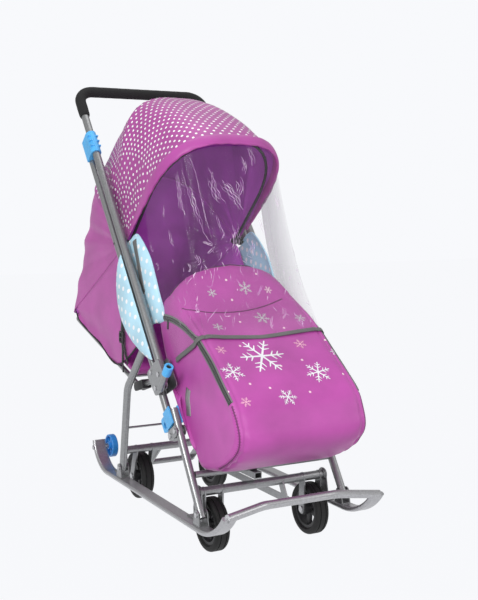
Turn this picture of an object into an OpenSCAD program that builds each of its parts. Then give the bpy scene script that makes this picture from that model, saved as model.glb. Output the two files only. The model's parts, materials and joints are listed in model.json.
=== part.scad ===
// Sled stroller: a child's seat on steel runners, with road wheels that swing up for snow.
// Front is -Y, the child's left is +X, +Z is up, and the wheels stand on z = 0.
// Side-view places are [y, z] pairs measured from the middle of the wheelbase.
// Places on the upright are [along, ahead] pairs measured from the fold pivot.

/* [Chassis] */
// Width across the outer edges of the two runners
overall_w = 440; // [430:1:450]
// Width of the flat-oval runner tube
runner_w = 38; // [34:1:40]
// Thickness of the flat-oval runner tube
runner_t = 12; // [10:0.5:14]
// Height of the runners' underside while the wheels are down
runner_clear = 76; // [72:1:80]
// Where the straight sole of the runner ends at the front
sole_front_y = -332; // [-345:1:-331]
// Where the straight sole of the runner ends at the rear
sole_rear_y = 258; // [252:1:268]
// Run of the runner's front curve, up to the front bar
nose_run = 126; // [118:1:136]
// Rise of the runner's front curve, up to the front bar
nose_rise = 64; // [58:1:70]
// Run of the runner's raised rear end
tail_run = 100; // [92:1:108]
// Rise of the runner's raised rear end
tail_rise = 73; // [66:1:80]
// Diameter of the front bar
bar_d = 20; // [17:0.5:22]
// How far the middle of the front bar is set back from its ends
bar_set_back = 24; // [10:1:34]
// How far the middle of the front bar stands above its ends
bar_lift = 8; // [0:1:14]
// Length of the front bar's straight middle
bar_middle = 200; // [150:5:260]

/* [Wheels] */
// Road wheel diameter
wheel_d = 132; // [128:1:136]
// Road wheel tyre width
tyre_w = 37; // [32:1:38]
// Diameter of the plastic rim under the tyre
rim_d = 98; // [92:1:104]
// Spokes in a road wheel
rim_spokes = 5; // [4:1:7]
// Distance between the front and rear wheel axles
wheelbase = 502; // [496:1:508]
// How much narrower the front wheels' track is than the runners
track_front_in = 159; // [157:1:163]
// How much narrower the rear wheels' track is than the runners
track_rear_in = 206; // [200:1:210]
// Height of the two swing tubes that carry the wheels
swing_z = 150; // [147:1:154]
// How far the front swing tube lies ahead of the front axle
swing_front_lead = 2; // [0:1:5]
// How far the rear swing tube lies ahead of the rear axle
swing_rear_lead = 30; // [27:1:33]
// Swing tube diameter
swing_d = 22; // [20:0.5:23]
// Diameter of the transport wheels at the rear tips
transport_d = 66; // [60:1:70]
// Spokes in a transport wheel
transport_spokes = 6; // [5:1:8]

/* [Frame] */
// Diameter of the leg and upright tubes
tube_d = 20; // [19:0.25:21]
// Distance of the leg tubes in from the runners' outer edges
frame_inset = 20; // [18:0.5:21]
// Side-view place of the front foot pivot
front_foot_y = -312; // [-314:1:-306]
// Side-view place of the rear foot pivot
rear_foot_y = 174; // [170:1:178]
// Height of the foot pivots above the runners
foot_rise = 27; // [26:1:30]
// Angle of the front legs above the floor
leg_angle = 56.4; // [55.8:0.1:57]
// Length of a front leg above its foot pivot
leg_len = 270; // [262:1:276]
// Distance along the leg from the foot pivot to the fold pivot
fold_along = 212.6; // [210:0.2:216]
// Distance of the fold pivot behind the leg's axis
fold_offset = 30.8; // [30:0.2:33]
// Angle of the uprights above the floor
upright_angle = 51.3; // [50.6:0.1:52]
// Distance of the uprights' top ends below the grip bar
upright_short = 222; // [216:1:230]
// Distance along the upright from the fold pivot to the rear leg's pivot
rear_pivot_along = 271; // [267:1:275]
// Bend radius of the rear legs
rear_bend = 60; // [50:1:70]

/* [Handle] */
// Diameter of the handle tube
handle_d = 22; // [20:0.25:22.5]
// Distance of the handle's tubes ahead of the uprights
handle_offset = 37; // [36:0.5:39]
// Distance along the upright from the fold pivot to the handle pivot
handle_along = 153; // [150:1:156]
// Length of the handle from its pivot to the middle of the grip bar
handle_len = 962; // [948:1:974]
// Bend radius of the handle's two corners
handle_bend = 46; // [40:1:54]
// Diameter of the foam grip
foam_d = 31; // [28:0.5:33]
// Reach of the foam grip down the handle's sides
foam_drop = 100; // [84:1:112]

/* [Seat] */
// Distance of the seat and back tubes in from the leg tubes
seat_inset = 34; // [33.5:0.5:36]
// Diameter of the seat and back tubes
seat_d = 14; // [13:0.25:14.5]
// Length of the reclined backrest from its hinge
back_len = 537; // [525:1:545]
// Angle of the reclined backrest above the floor
back_angle = 15.5; // [14.5:0.5:16.5]
// Thickness of the seat and back pads
pad_t = 32; // [26:1:35]

/* [Hood] */
// Radius of the hood's arch from its pivot to the crown
hood_r = 408; // [400:1:414]
// Distance of the hood's sides in from the uprights
hood_inset = 24; // [23:0.5:26]
// Angle of the hood's front edge about its pivot, from the rear
hood_front_angle = 141; // [138:1:144]
// Angle of the hood's rear edge about its pivot
hood_rear_angle = 28; // [25:1:31]
// Distance along the upright from the fold pivot to the hood pivot
hood_along = 586; // [580:1:592]

/* [Footmuff] */
// Distance of the footmuff's sides in from the uprights
muff_inset = 23; // [22:0.5:28]
// Length of the footmuff
muff_len = 392; // [384:1:398]
// Height of the footmuff's sides
muff_h = 382; // [370:1:390]
// Rise of the flap's dome above the footmuff's sides
dome_rise = 125; // [105:1:136]
// Thickness of the padded cloth
muff_wall = 12; // [9:0.5:14]

/* [Hidden] */

$fn = 48;
steel = [0.62, 0.63, 0.64];
bright = [0.78, 0.78, 0.80];
violet = [0.74, 0.38, 0.68];
dotted_violet = [0.66, 0.30, 0.60];
sky = [0.62, 0.84, 0.95];
clip_blue = [0.22, 0.58, 0.88];
black = [0.10, 0.10, 0.11];
grey = [0.35, 0.35, 0.37];
clear_film = [0.90, 0.92, 0.94];

// Clearances and small shared sizes
run_clear = 0.05;
seat_gap = 0.3;
overrun = 2;
sheet_t = 2.5;
cloth_t = 2.5;
rivet_d = 8;
rivet_head_d = 13;
rivet_head_t = 2.4;
// A bend is a hair thicker than its tube and laps over it on both sides
bend_swell = 0.4;
bend_lap = 1;
// The straight sides of a rounded plate are a hair inside its rounds, so that they cross
waist = 0.2;

// Helper functions
function polar(p, r, a) = p + r * [cos(a), sin(a)];
function span(p, q) = norm(q - p);
function heading(p, q) = atan2(q[1] - p[1], q[0] - p[0]);
function upright_at(place) =
    polar(polar(fold_pivot, place[0], upright_angle), place[1], upright_angle + 90);
function lerp(a, b, t) = a + (b - a) * t;
function signed_power(v, n) = sign(v) * pow(abs(v), n);
function middle(ring) = [for (p = ring) 1 / len(ring)] * ring;
function flatten(rows) = [for (row = rows) for (p = row) p];
function backwards(list) = [for (i = [len(list) - 1 : -1 : 0]) list[i]];

// Main places in side view
runner_top = runner_clear + runner_t;
runner_mid_z = runner_clear + runner_t / 2;
runner_x = (overall_w - runner_w) / 2;
runner_in = runner_x - runner_w / 2;
track_front = overall_w - track_front_in;
track_rear = overall_w - track_rear_in;
frame_x = overall_w / 2 - frame_inset;
seat_x = frame_x - seat_inset;
hood_half = frame_x - hood_inset;
muff_half = frame_x - muff_inset;
upright_len = handle_along + handle_len - upright_short;
front_axle = [-wheelbase / 2, wheel_d / 2];
rear_axle = [wheelbase / 2, wheel_d / 2];
front_swing = [front_axle[0] - swing_front_lead, swing_z];
rear_swing = [rear_axle[0] - swing_rear_lead, swing_z];
front_foot = [front_foot_y, runner_top + foot_rise];
rear_foot = [rear_foot_y, runner_top + foot_rise];
ear_seat = polar(front_foot, fold_along, leg_angle);
fold_pivot = polar(ear_seat, fold_offset, leg_angle - 90);
rear_pivot = upright_at([rear_pivot_along, 0]);
handle_pivot = upright_at([handle_along, handle_offset]);
hood_pivot = upright_at([hood_along, 0]);
recline_place = [243, -189.5];
recline_pivot = upright_at(recline_place);
back_tip = polar(recline_pivot, back_len, back_angle);
bar_end = [sole_front_y - nose_run, runner_mid_z + nose_rise];
cover_gap = 3;
rear_reach = back_tip[0] + seat_d / 2 + cover_gap + cloth_t;

// The front bar lies in a plane tilted about X, with a bend on each side of its middle
bar_bend = 90;
bar_over = 6;
bar_depth = norm([bar_set_back, bar_lift]);
bar_turn = atan(bar_depth / (runner_x - bar_middle / 2));
bar_tangent = bar_bend * tan(bar_turn / 2);
bar_lean = sin(bar_turn) * bar_set_back / bar_depth;
front_reach = bar_end[0] - bar_over * bar_lean - bar_d / 2 * sqrt(1 - bar_lean * bar_lean);

// Shift that puts the middle of the part's length at y = 0
y_shift = -(front_reach + rear_reach) / 2;

// General modules
module placed() {
    translate([0, y_shift, 0])
        children();
}

module both_sides() {
    children();
    mirror([1, 0, 0])
        children();
}

// Local Z runs along the heading, and local Y points behind and below it
module along_side(p, a) {
    translate([0, p[0], p[1]])
        rotate([a - 90, 0, 0])
            children();
}

module side_rod(x, p, q, d) {
    translate([x, 0, 0])
        along_side(p, heading(p, q))
            cylinder(h = span(p, q), d = d);
}

module cross_rod(p, x0, x1, d) {
    translate([x0, p[0], p[1]])
        rotate([0, 90, 0])
            cylinder(h = x1 - x0, d = d);
}

// A plate in side view, from x0 to x1
module plate(x0, x1) {
    translate([x0, 0, 0])
        rotate([90, 0, 90])
            linear_extrude(x1 - x0)
                children();
}

module band(p, q, d) {
    translate(p)
        rotate(heading(p, q))
            translate([0, -d / 2])
                square([span(p, q), d]);
}

module capsule(p, q, d) {
    for (c = [p, q])
        translate(c)
            circle(d = d);
    band(p, q, d - waist);
}

module rounded(points, r) {
    polygon(points);
    for (i = [0 : len(points) - 1]) {
        translate(points[i])
            circle(r = r);
        band(points[i], points[(i + 1) % len(points)], 2 * r - waist);
    }
}

module on_upright_2d() {
    translate(fold_pivot)
        rotate(upright_angle)
            children();
}

// A solid between two grids of points, the outer one seen from outside
module slab(outer, inner) {
    rows = len(outer);
    cols = len(outer[0]);
    n = rows * cols;
    top = [for (i = [0 : rows - 2]) for (j = [0 : cols - 2])
        let (a = i * cols + j)
        each [[a, a + 1, a + cols + 1], [a, a + cols + 1, a + cols]]];
    under = [for (f = top) [n + f[2], n + f[1], n + f[0]]];
    rim = concat(
        [for (j = [0 : cols - 1]) j],
        [for (i = [1 : rows - 1]) i * cols + cols - 1],
        [for (j = [cols - 2 : -1 : 0]) (rows - 1) * cols + j],
        [for (i = [rows - 2 : -1 : 1]) i * cols]);
    walls = [for (k = [0 : len(rim) - 1])
        let (a = rim[k], b = rim[(k + 1) % len(rim)])
        each [[a, n + a, n + b], [a, n + b, b]]];
    polyhedron(points = concat(flatten(outer), flatten(inner)), faces = concat(top, under, walls));
}

// A solid through closed rings of points, with flat ends
module loft(rings) {
    cols = len(rings[0]);
    rows = len(rings);
    skin = [for (i = [0 : rows - 2]) for (j = [0 : cols - 1])
        let (a = i * cols + j, b = i * cols + (j + 1) % cols)
        each [[a, b, b + cols], [a, b + cols, a + cols]]];
    n = rows * cols;
    first = [for (j = [0 : cols - 1]) [n, (j + 1) % cols, j]];
    last = [for (j = [0 : cols - 1]) [n + 1, n - cols + j, n - cols + (j + 1) % cols]];
    middles = [middle(rings[0]), middle(rings[rows - 1])];
    polyhedron(points = concat(flatten(rings), middles), faces = concat(skin, first, last));
}

// Runners and front bar
module flat_oval(w, t) {
    square([w - t, t], center = true);
    for (s = [-1, 1])
        translate([s * (w - t) / 2, 0])
            circle(d = t);
}

module runner_arc(y, run, rise, ahead) {
    r = (run * run + rise * rise) / (2 * rise);
    sweep = 2 * atan(rise / run);
    translate([runner_x, y, runner_mid_z + r])
        rotate([90, 0, 90])
            rotate([0, 0, ahead ? -90 - sweep : -90 - bend_lap])
                rotate_extrude(angle = sweep + bend_lap)
                    translate([r, 0])
                        rotate(90)
                            flat_oval(runner_w + bend_swell, runner_t + bend_swell);
}

transport_share = 0.84;
tail_r = (tail_run * tail_run + tail_rise * tail_rise) / (2 * tail_rise);
tail_sweep = 2 * atan(tail_rise / tail_run);
tail_centre = [sole_rear_y, runner_mid_z + tail_r];
transport_axle = polar(tail_centre, tail_r, -90 + transport_share * tail_sweep);
transport_bolt_d = 8;

module runner_side() {
    difference() {
        union() {
            translate([runner_x, sole_front_y, runner_mid_z])
                rotate([-90, 0, 0])
                    linear_extrude(sole_rear_y - sole_front_y)
                        flat_oval(runner_w, runner_t);
            runner_arc(sole_front_y, nose_run, nose_rise, true);
            runner_arc(sole_rear_y, tail_run, tail_rise, false);
        }
        bar_solid(bar_d + 2 * run_clear);
        cross_rod(transport_axle, runner_in - overrun, overall_w / 2 + overrun,
            transport_bolt_d + 2 * run_clear);
    }
}

module bar_solid(d) {
    straight = bar_middle / 2 - bar_tangent;
    slant = norm([bar_depth, runner_x - bar_middle / 2]) - bar_tangent + bar_over;
    translate([0, bar_end[0], bar_end[1]])
        rotate([atan2(bar_lift, bar_set_back), 0, 0]) {
            translate([-straight, bar_depth, 0])
                rotate([0, 90, 0])
                    cylinder(h = 2 * straight, d = d);
            both_sides()
                translate([straight, bar_depth - bar_bend, 0]) {
                    rotate([0, 0, 90 - bar_turn - bend_lap])
                        rotate_extrude(angle = bar_turn + 2 * bend_lap)
                            translate([bar_bend, 0])
                                circle(d = d + bend_swell);
                    rotate([0, 0, 90 - bar_turn])
                        translate([bar_bend, 0, 0])
                            rotate([90, 0, 0])
                                cylinder(h = slant, d = d);
                }
        }
}

module runner_left() {
    color(steel)
        placed()
            runner_side();
}

module runner_right() {
    color(steel)
        placed()
            mirror([1, 0, 0])
                runner_side();
}

module front_bar() {
    color(steel)
        placed()
            bar_solid(bar_d);
}

// Brackets that carry the swing tubes, standing on the runners
bracket_t = 3;
bracket_gap = 3;
bracket_base = 52;
bracket_round = 17;
bracket_flange = 14;
bracket_set_in = 1;
bracket_x = runner_in - bracket_gap - bracket_t;

module bracket(p) {
    foot_z = runner_top + bracket_round + bracket_set_in;
    difference() {
        union() {
            plate(bracket_x, bracket_x + bracket_t) {
                rounded([p, [p[0] - bracket_base / 2 + bracket_round, foot_z],
                    [p[0] + bracket_base / 2 - bracket_round, foot_z]], bracket_round);
                translate([p[0] - bracket_base / 2 + bracket_set_in, runner_top])
                    square([bracket_base - 2 * bracket_set_in, bracket_round]);
            }
            translate([bracket_x, p[0] - bracket_base / 2, runner_top])
                cube([bracket_t + bracket_gap + bracket_flange, bracket_base, bracket_t]);
        }
        cross_rod(p, bracket_x - overrun, bracket_x + bracket_t + overrun,
            swing_d + 2 * run_clear);
    }
}

module front_brackets() {
    color(steel)
        placed()
            both_sides()
                bracket(front_swing);
}

module rear_brackets() {
    color(steel)
        placed()
            both_sides()
                bracket(rear_swing);
}

// Foot clips that hold the legs on the runners
clip_in = tube_d / 2 + seat_gap;
clip_out = clip_in + sheet_t;
clip_half = 17;
clip_round = 12;

module foot_clip(p) {
    difference() {
        union() {
            for (s = [-1, 1])
                plate(frame_x + s * (clip_in + clip_out) / 2 - sheet_t / 2,
                    frame_x + s * (clip_in + clip_out) / 2 + sheet_t / 2) {
                    translate(p)
                        circle(r = clip_round);
                    polygon([[p[0] - clip_half, runner_top], [p[0] + clip_half, runner_top],
                        [p[0] + clip_round, p[1]], [p[0] - clip_round, p[1]]]);
                }
            translate([frame_x - clip_out, p[0] - clip_half, runner_top])
                cube([2 * clip_out, 2 * clip_half, sheet_t]);
        }
        cross_rod(p, frame_x - clip_out - overrun, frame_x + clip_out + overrun,
            rivet_d + 2 * run_clear);
    }
}

module foot_clips() {
    color(steel)
        placed()
            both_sides() {
                foot_clip(front_foot);
                foot_clip(rear_foot);
            }
}

module rivet(p, x, reach) {
    cross_rod(p, x - reach - rivet_head_t, x + reach + rivet_head_t, rivet_d);
    cross_rod(p, x - reach - rivet_head_t, x - reach, rivet_head_d);
    cross_rod(p, x + reach, x + reach + rivet_head_t, rivet_head_d);
}

module foot_rivets() {
    color(bright)
        placed()
            both_sides() {
                rivet(front_foot, frame_x, clip_out);
                rivet(rear_foot, frame_x, clip_out);
            }
}

// Swing axles with the wheel arms, cranks and pedal
arm_w = 24;
arm_t = 4;
hub_half = 21.5;
hub_play = 0.5;
arm_in = hub_half + hub_play;
collar_t = 2.6;
collar_d = 30;
crank_t = 5;
crank_in = 15;
crank_len = 52;
crank_lead = 30;
crank_w = 20;
axle_d = 10;
pin_d = 8;
crank_run = crank_len * [-sin(crank_lead), -cos(crank_lead)];
pedal_d = 16;
pedal_arm_w = 20;
pedal_in = 52;
pedal_over = 9;
pedal_run = [74, -64];
pedal_x = track_rear / 2 - pedal_in;
pedal_half = pedal_x + pedal_over;
crank_x = pedal_x - crank_in;
link_t = 4;
link_w = 18;
link_gap = 1;
link_x = crank_x + crank_t + link_gap;

module swing_tube(p) {
    cross_rod(p, -bracket_x - bracket_t - collar_t, bracket_x + bracket_t + collar_t, swing_d);
    both_sides() {
        cross_rod(p, bracket_x - seat_gap - collar_t, bracket_x - seat_gap, collar_d);
        cross_rod(p, bracket_x + bracket_t + seat_gap, bracket_x + bracket_t + collar_t, collar_d);
    }
}

module wheel_arms(p, axle, track) {
    both_sides()
        for (s = [-1, 1])
            difference() {
                plate(track / 2 + s * (arm_in + arm_t / 2) - arm_t / 2,
                    track / 2 + s * (arm_in + arm_t / 2) + arm_t / 2)
                    capsule(p, axle, arm_w);
                cross_rod(axle, track / 2 - arm_in - arm_t - overrun,
                    track / 2 + arm_in + arm_t + overrun, axle_d + 2 * run_clear);
            }
}

module crank(p) {
    plate(crank_x, crank_x + crank_t)
        capsule(p, p + crank_run, crank_w);
    cross_rod(p + crank_run, crank_x, link_x + link_t + link_gap + rivet_head_t, pin_d);
    cross_rod(p + crank_run, link_x + link_t + link_gap,
        link_x + link_t + link_gap + rivet_head_t, rivet_head_d);
}

module front_swing_axle() {
    color(steel)
        placed() {
            swing_tube(front_swing);
            wheel_arms(front_swing, front_axle, track_front);
            crank(front_swing);
        }
}

module rear_swing_axle() {
    color(steel)
        placed() {
            swing_tube(rear_swing);
            wheel_arms(rear_swing, rear_axle, track_rear);
            crank(rear_swing);
            both_sides()
                plate(pedal_x, pedal_x + crank_t)
                    capsule(rear_swing, rear_swing + pedal_run, pedal_arm_w);
            cross_rod(rear_swing + pedal_run, -pedal_half, pedal_half, pedal_d);
        }
}

open_clear = 0.1;

module link_bar() {
    color(steel)
        placed()
            difference() {
                plate(link_x, link_x + link_t)
                    capsule(front_swing + crank_run, rear_swing + crank_run, link_w);
                cross_rod(front_swing + crank_run, link_x - overrun, link_x + link_t + overrun,
                    pin_d + 2 * run_clear);
                cross_rod(rear_swing + crank_run, link_x - overrun, link_x + link_t + overrun,
                    pin_d + 2 * open_clear);
            }
}

bolt_head_d = 16;

module axle_bolts(axle, track) {
    reach = arm_in + arm_t;
    both_sides()
        translate([track / 2, 0, 0]) {
            cross_rod(axle, -reach - rivet_head_t, reach + rivet_head_t, axle_d);
            cross_rod(axle, -reach - rivet_head_t, -reach, bolt_head_d);
            cross_rod(axle, reach, reach + rivet_head_t, bolt_head_d);
        }
}

module front_axle_bolts() {
    color(bright)
        placed()
            axle_bolts(front_axle, track_front);
}

module rear_axle_bolts() {
    color(bright)
        placed()
            axle_bolts(rear_axle, track_rear);
}

// Road wheels
tyre_round = 8;
tyre_steps = 5;
tyre_lip = 4;
groove_w = 2.4;
groove_depth = 2;
groove_share = 0.2;
rim_w = 27;
rim_ring = 7;
hub_d = 30;
spoke_t = 9;
spoke_root = 16;
spoke_tip = 11;

// A quarter round of the tyre's outline, from one angle to the next
function quarter(centre, r, from) =
    [for (k = [0 : tyre_steps]) polar(centre, r, from + 90 * k / tyre_steps)];

module tyre(x, axle) {
    inner = rim_d / 2 + run_clear;
    outer = wheel_d / 2;
    deep = outer - groove_depth;
    low = groove_share * tyre_w - groove_w / 2;
    high = groove_share * tyre_w + groove_w / 2;
    translate([x, axle[0], axle[1]])
        rotate([0, 90, 0])
            rotate_extrude($fn = 96)
                polygon(concat([[inner, -rim_w / 2], [inner + tyre_lip, -tyre_w / 2]],
                    quarter([outer - tyre_round, tyre_round - tyre_w / 2], tyre_round, -90),
                    [[outer, -high], [deep, -high], [deep, -low], [outer, -low],
                        [outer, low], [deep, low], [deep, high], [outer, high]],
                    quarter([outer - tyre_round, tyre_w / 2 - tyre_round], tyre_round, 0),
                    [[inner + tyre_lip, tyre_w / 2], [inner, rim_w / 2]]));
}

module wheel_rim(x, axle) {
    translate([x, axle[0], axle[1]])
        rotate([0, 90, 0])
            difference() {
                union() {
                    difference() {
                        cylinder(h = rim_w, d = rim_d, center = true, $fn = 96);
                        cylinder(h = rim_w + overrun, d = rim_d - 2 * rim_ring, center = true, $fn = 96);
                    }
                    cylinder(h = 2 * hub_half, d = hub_d, center = true);
                    for (k = [0 : rim_spokes - 1])
                        rotate(k * 360 / rim_spokes)
                            linear_extrude(spoke_t, center = true)
                                polygon([[0, -spoke_root / 2], [rim_d / 2 - rim_ring / 2, -spoke_tip / 2],
                                    [rim_d / 2 - rim_ring / 2, spoke_tip / 2], [0, spoke_root / 2]]);
                }
                cylinder(h = 2 * hub_half + overrun, d = axle_d + 2 * run_clear, center = true);
            }
}

module front_tyre_left() {
    color(black)
        placed()
            tyre(track_front / 2, front_axle);
}

module front_tyre_right() {
    color(black)
        placed()
            tyre(-track_front / 2, front_axle);
}

module rear_tyre_left() {
    color(black)
        placed()
            tyre(track_rear / 2, rear_axle);
}

module rear_tyre_right() {
    color(black)
        placed()
            tyre(-track_rear / 2, rear_axle);
}

module front_rim_left() {
    color(grey)
        placed()
            wheel_rim(track_front / 2, front_axle);
}

module front_rim_right() {
    color(grey)
        placed()
            wheel_rim(-track_front / 2, front_axle);
}

module rear_rim_left() {
    color(grey)
        placed()
            wheel_rim(track_rear / 2, rear_axle);
}

module rear_rim_right() {
    color(grey)
        placed()
            wheel_rim(-track_rear / 2, rear_axle);
}

// Transport wheels on the runners' rear tips
transport_w = 18;
transport_ring = 6;
transport_hub_d = 20;
transport_hub_w = 22;
transport_spoke = 6;
spacer_d = 15;
spacer_len = 6;
transport_x = runner_in - spacer_len - seat_gap - transport_hub_w / 2;

module transport_wheel(x) {
    ring_r = transport_d / 2 - transport_ring / 2;
    translate([x, transport_axle[0], transport_axle[1]])
        rotate([0, 90, 0])
            difference() {
                union() {
                    rotate_extrude($fn = 72)
                        capsule([ring_r, -transport_w / 2 + transport_ring / 2],
                            [ring_r, transport_w / 2 - transport_ring / 2], transport_ring);
                    cylinder(h = transport_hub_w, d = transport_hub_d, center = true);
                    for (k = [0 : transport_spokes - 1])
                        rotate(k * 360 / transport_spokes)
                            translate([0, -transport_spoke / 2, -transport_spoke / 2])
                                cube([ring_r, transport_spoke, transport_spoke]);
                }
                cylinder(h = transport_hub_w + overrun, d = transport_bolt_d + 2 * run_clear,
                    center = true);
            }
}

module transport_wheel_left() {
    color(clip_blue)
        placed()
            transport_wheel(transport_x);
}

module transport_wheel_right() {
    color(clip_blue)
        placed()
            transport_wheel(-transport_x);
}

module transport_bolts() {
    inner = transport_x - transport_hub_w / 2 - seat_gap;
    swell = bend_swell / 2 + run_clear;
    outer = overall_w / 2 + swell;
    color(bright)
        placed()
            both_sides() {
                cross_rod(transport_axle, inner - rivet_head_t, outer + rivet_head_t, transport_bolt_d);
                cross_rod(transport_axle, inner - rivet_head_t, inner, rivet_head_d);
                cross_rod(transport_axle, runner_in - spacer_len, runner_in - swell, spacer_d);
                cross_rod(transport_axle, outer, outer + rivet_head_t, rivet_head_d);
            }
}

// Front legs with their cross tube and footrest rail
leg_below = 10;
cross_along = 97.2;
cross_d = 16;
rail_w = 20;
rail_h = 16;
rail_wall = 2;
rail_x = -30;
rail_ahead = 26;
rail_behind = 108;
leg_cross = polar(front_foot, cross_along, leg_angle);

module front_leg() {
    difference() {
        side_rod(frame_x, polar(front_foot, -leg_below, leg_angle),
            polar(front_foot, leg_len, leg_angle), tube_d);
        for (p = [front_foot, ear_seat])
            cross_rod(p, frame_x - tube_d, frame_x + tube_d, rivet_d + 2 * run_clear);
    }
}

module front_leg_left() {
    color(steel)
        placed()
            front_leg();
}

module front_leg_right() {
    color(steel)
        placed()
            mirror([1, 0, 0])
                front_leg();
}

module leg_cross_tube() {
    reach = frame_x - tube_d / 2 - run_clear;
    color(steel)
        placed()
            cross_rod(leg_cross, -reach, reach, cross_d);
}

module footrest_rail() {
    top = leg_cross[1] - cross_d / 2 - run_clear;
    color(steel)
        placed()
            translate([rail_x - rail_w / 2, leg_cross[0] - rail_ahead, top - rail_h])
                difference() {
                    cube([rail_w, rail_ahead + rail_behind, rail_h]);
                    translate([rail_wall, -overrun, rail_wall])
                        cube([rail_w - 2 * rail_wall, rail_ahead + rail_behind + 2 * overrun,
                            rail_h - 2 * rail_wall]);
                }
}

// Ears on the front legs that carry the uprights' fold pivots
ear_w = 26;

module fold_ears() {
    color(steel)
        placed()
            both_sides()
                for (s = [-1, 1])
                    difference() {
                        plate(frame_x + s * (clip_in + clip_out) / 2 - sheet_t / 2,
                            frame_x + s * (clip_in + clip_out) / 2 + sheet_t / 2)
                            capsule(ear_seat, fold_pivot, ear_w);
                        for (p = [ear_seat, fold_pivot])
                            cross_rod(p, frame_x - clip_out - overrun, frame_x + clip_out + overrun,
                                rivet_d + 2 * run_clear);
                    }
}

module fold_rivets() {
    color(bright)
        placed()
            both_sides() {
                rivet(ear_seat, frame_x, clip_out);
                rivet(fold_pivot, frame_x, clip_out);
            }
}

// Rear legs, bent towards the uprights, with a flat tongue beside each upright
rear_knee_drop = 142;
rear_knee_behind = 134;
rear_knee = rear_pivot + [rear_knee_behind, -rear_knee_drop];
rear_below = 8;
tongue_t = 4;
tongue_gap = 1.5;
tongue_d = 22;
tongue_short = 28;
tongue_lap = 24;
tongue_block = 15;
rear_low = heading(rear_foot, rear_knee);
rear_high = heading(rear_knee, rear_pivot);
rear_turn = rear_high - rear_low;
rear_tangent = rear_bend * tan(rear_turn / 2);
rear_stop = polar(rear_pivot, -tongue_short, rear_high);
brace_share = 0.5;
brace_d = 6;
brace_place = lerp(rear_foot, rear_knee, brace_share);

module rear_leg() {
    bend_start = polar(rear_knee, -rear_tangent, rear_low);
    bend_end = polar(rear_knee, rear_tangent, rear_high);
    bend_centre = polar(bend_start, rear_bend, rear_low + 90);
    tongue_x = frame_x - tube_d / 2 - tongue_gap - tongue_t;
    difference() {
        union() {
            side_rod(frame_x, polar(rear_foot, -rear_below, rear_low), bend_start, tube_d);
            side_rod(frame_x, bend_end, rear_stop, tube_d);
            translate([frame_x, bend_centre[0], bend_centre[1]])
                rotate([90, 0, 90])
                    rotate([0, 0, rear_low - 90 - bend_lap])
                        rotate_extrude(angle = rear_turn + 2 * bend_lap)
                            translate([rear_bend, 0])
                                circle(d = tube_d + bend_swell);
        }
        cross_rod(rear_foot, frame_x - tube_d, frame_x + tube_d, rivet_d + 2 * run_clear);
    }
    plate(tongue_x, tongue_x + tongue_t)
        capsule(polar(rear_stop, -tongue_lap + tongue_d / 2, rear_high), rear_pivot, tongue_d);
    plate(tongue_x, frame_x)
        translate(polar(rear_stop, -tongue_lap, rear_high))
            rotate(rear_high)
                translate([0, -tongue_block / 2])
                    square([tongue_lap - tongue_gap, tongue_block]);
}

module rear_leg_left() {
    color(steel)
        placed()
            rear_leg();
}

module rear_leg_right() {
    color(steel)
        placed()
            mirror([1, 0, 0])
                rear_leg();
}

module rear_brace_rod() {
    reach = frame_x - tube_d / 2 - run_clear;
    color(steel)
        placed()
            cross_rod(brace_place, -reach, reach, brace_d);
}

// Uprights with the hinge plates that carry the handle and the seat
upright_below = 12;
plate_rivet_places = [[134, 0], [180, 0]];
plate_corner_places = [[128, -2], [180, -12], [176, 50], [114, 56]];
plate_round = 12;
plate_gap = 0.4;
plate_in = max(handle_d, tube_d) / 2 + plate_gap;
plate_t = 3;
plate_out = plate_in + plate_t;
seat_front_place = [175, -12];
seat_front = upright_at(seat_front_place);
seat_pin_d = 9;

module upright_side() {
    difference() {
        side_rod(frame_x, upright_at([-upright_below, 0]), upright_at([upright_len, 0]), tube_d);
        for (place = concat([[0, 0], [hood_along, 0]], plate_rivet_places))
            cross_rod(upright_at(place), frame_x - tube_d, frame_x + tube_d, rivet_d + 2 * run_clear);
    }
}

module upright_left() {
    color(steel)
        placed()
            upright_side();
}

module upright_right() {
    color(steel)
        placed()
            mirror([1, 0, 0])
                upright_side();
}

module hinge_plates() {
    places = concat([[handle_along, handle_offset]], plate_rivet_places);
    color(steel)
        placed()
            both_sides()
                for (s = [-1, 1])
                    difference() {
                        plate(frame_x + s * (plate_in + plate_t / 2) - plate_t / 2,
                            frame_x + s * (plate_in + plate_t / 2) + plate_t / 2)
                            on_upright_2d()
                                rounded(plate_corner_places, plate_round);
                        for (place = places)
                            cross_rod(upright_at(place), frame_x - plate_out - overrun,
                                frame_x + plate_out + overrun, rivet_d + 2 * run_clear);
                        if (s < 0)
                            cross_rod(seat_front, frame_x - plate_out - overrun, frame_x,
                                seat_pin_d + 2 * run_clear);
                    }
}

module plate_rivets() {
    color(bright)
        placed()
            both_sides()
                for (place = concat([[handle_along, handle_offset]], plate_rivet_places))
                    rivet(upright_at(place), frame_x, plate_out);
}

// Sockets for a bumper bar, outside the hinge plates
socket_d = 17;
socket_bore = 12;
socket_foot_place = [107, 45];
socket_top_place = [125, 121];
socket_x = frame_x + plate_out + socket_d / 2 + run_clear;
socket_foot = upright_at(socket_foot_place);
socket_top = upright_at(socket_top_place);
plug_d = 23;
plug_len = 24;
plug_cap = 3;
plug_hole = 14;

module bumper_sockets() {
    a = heading(socket_foot, socket_top);
    color(steel)
        placed()
            both_sides()
                difference() {
                    side_rod(socket_x, socket_foot, socket_top, socket_d);
                    side_rod(socket_x, polar(socket_foot, -overrun, a), polar(socket_top, overrun, a), socket_bore);
                }
}

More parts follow.
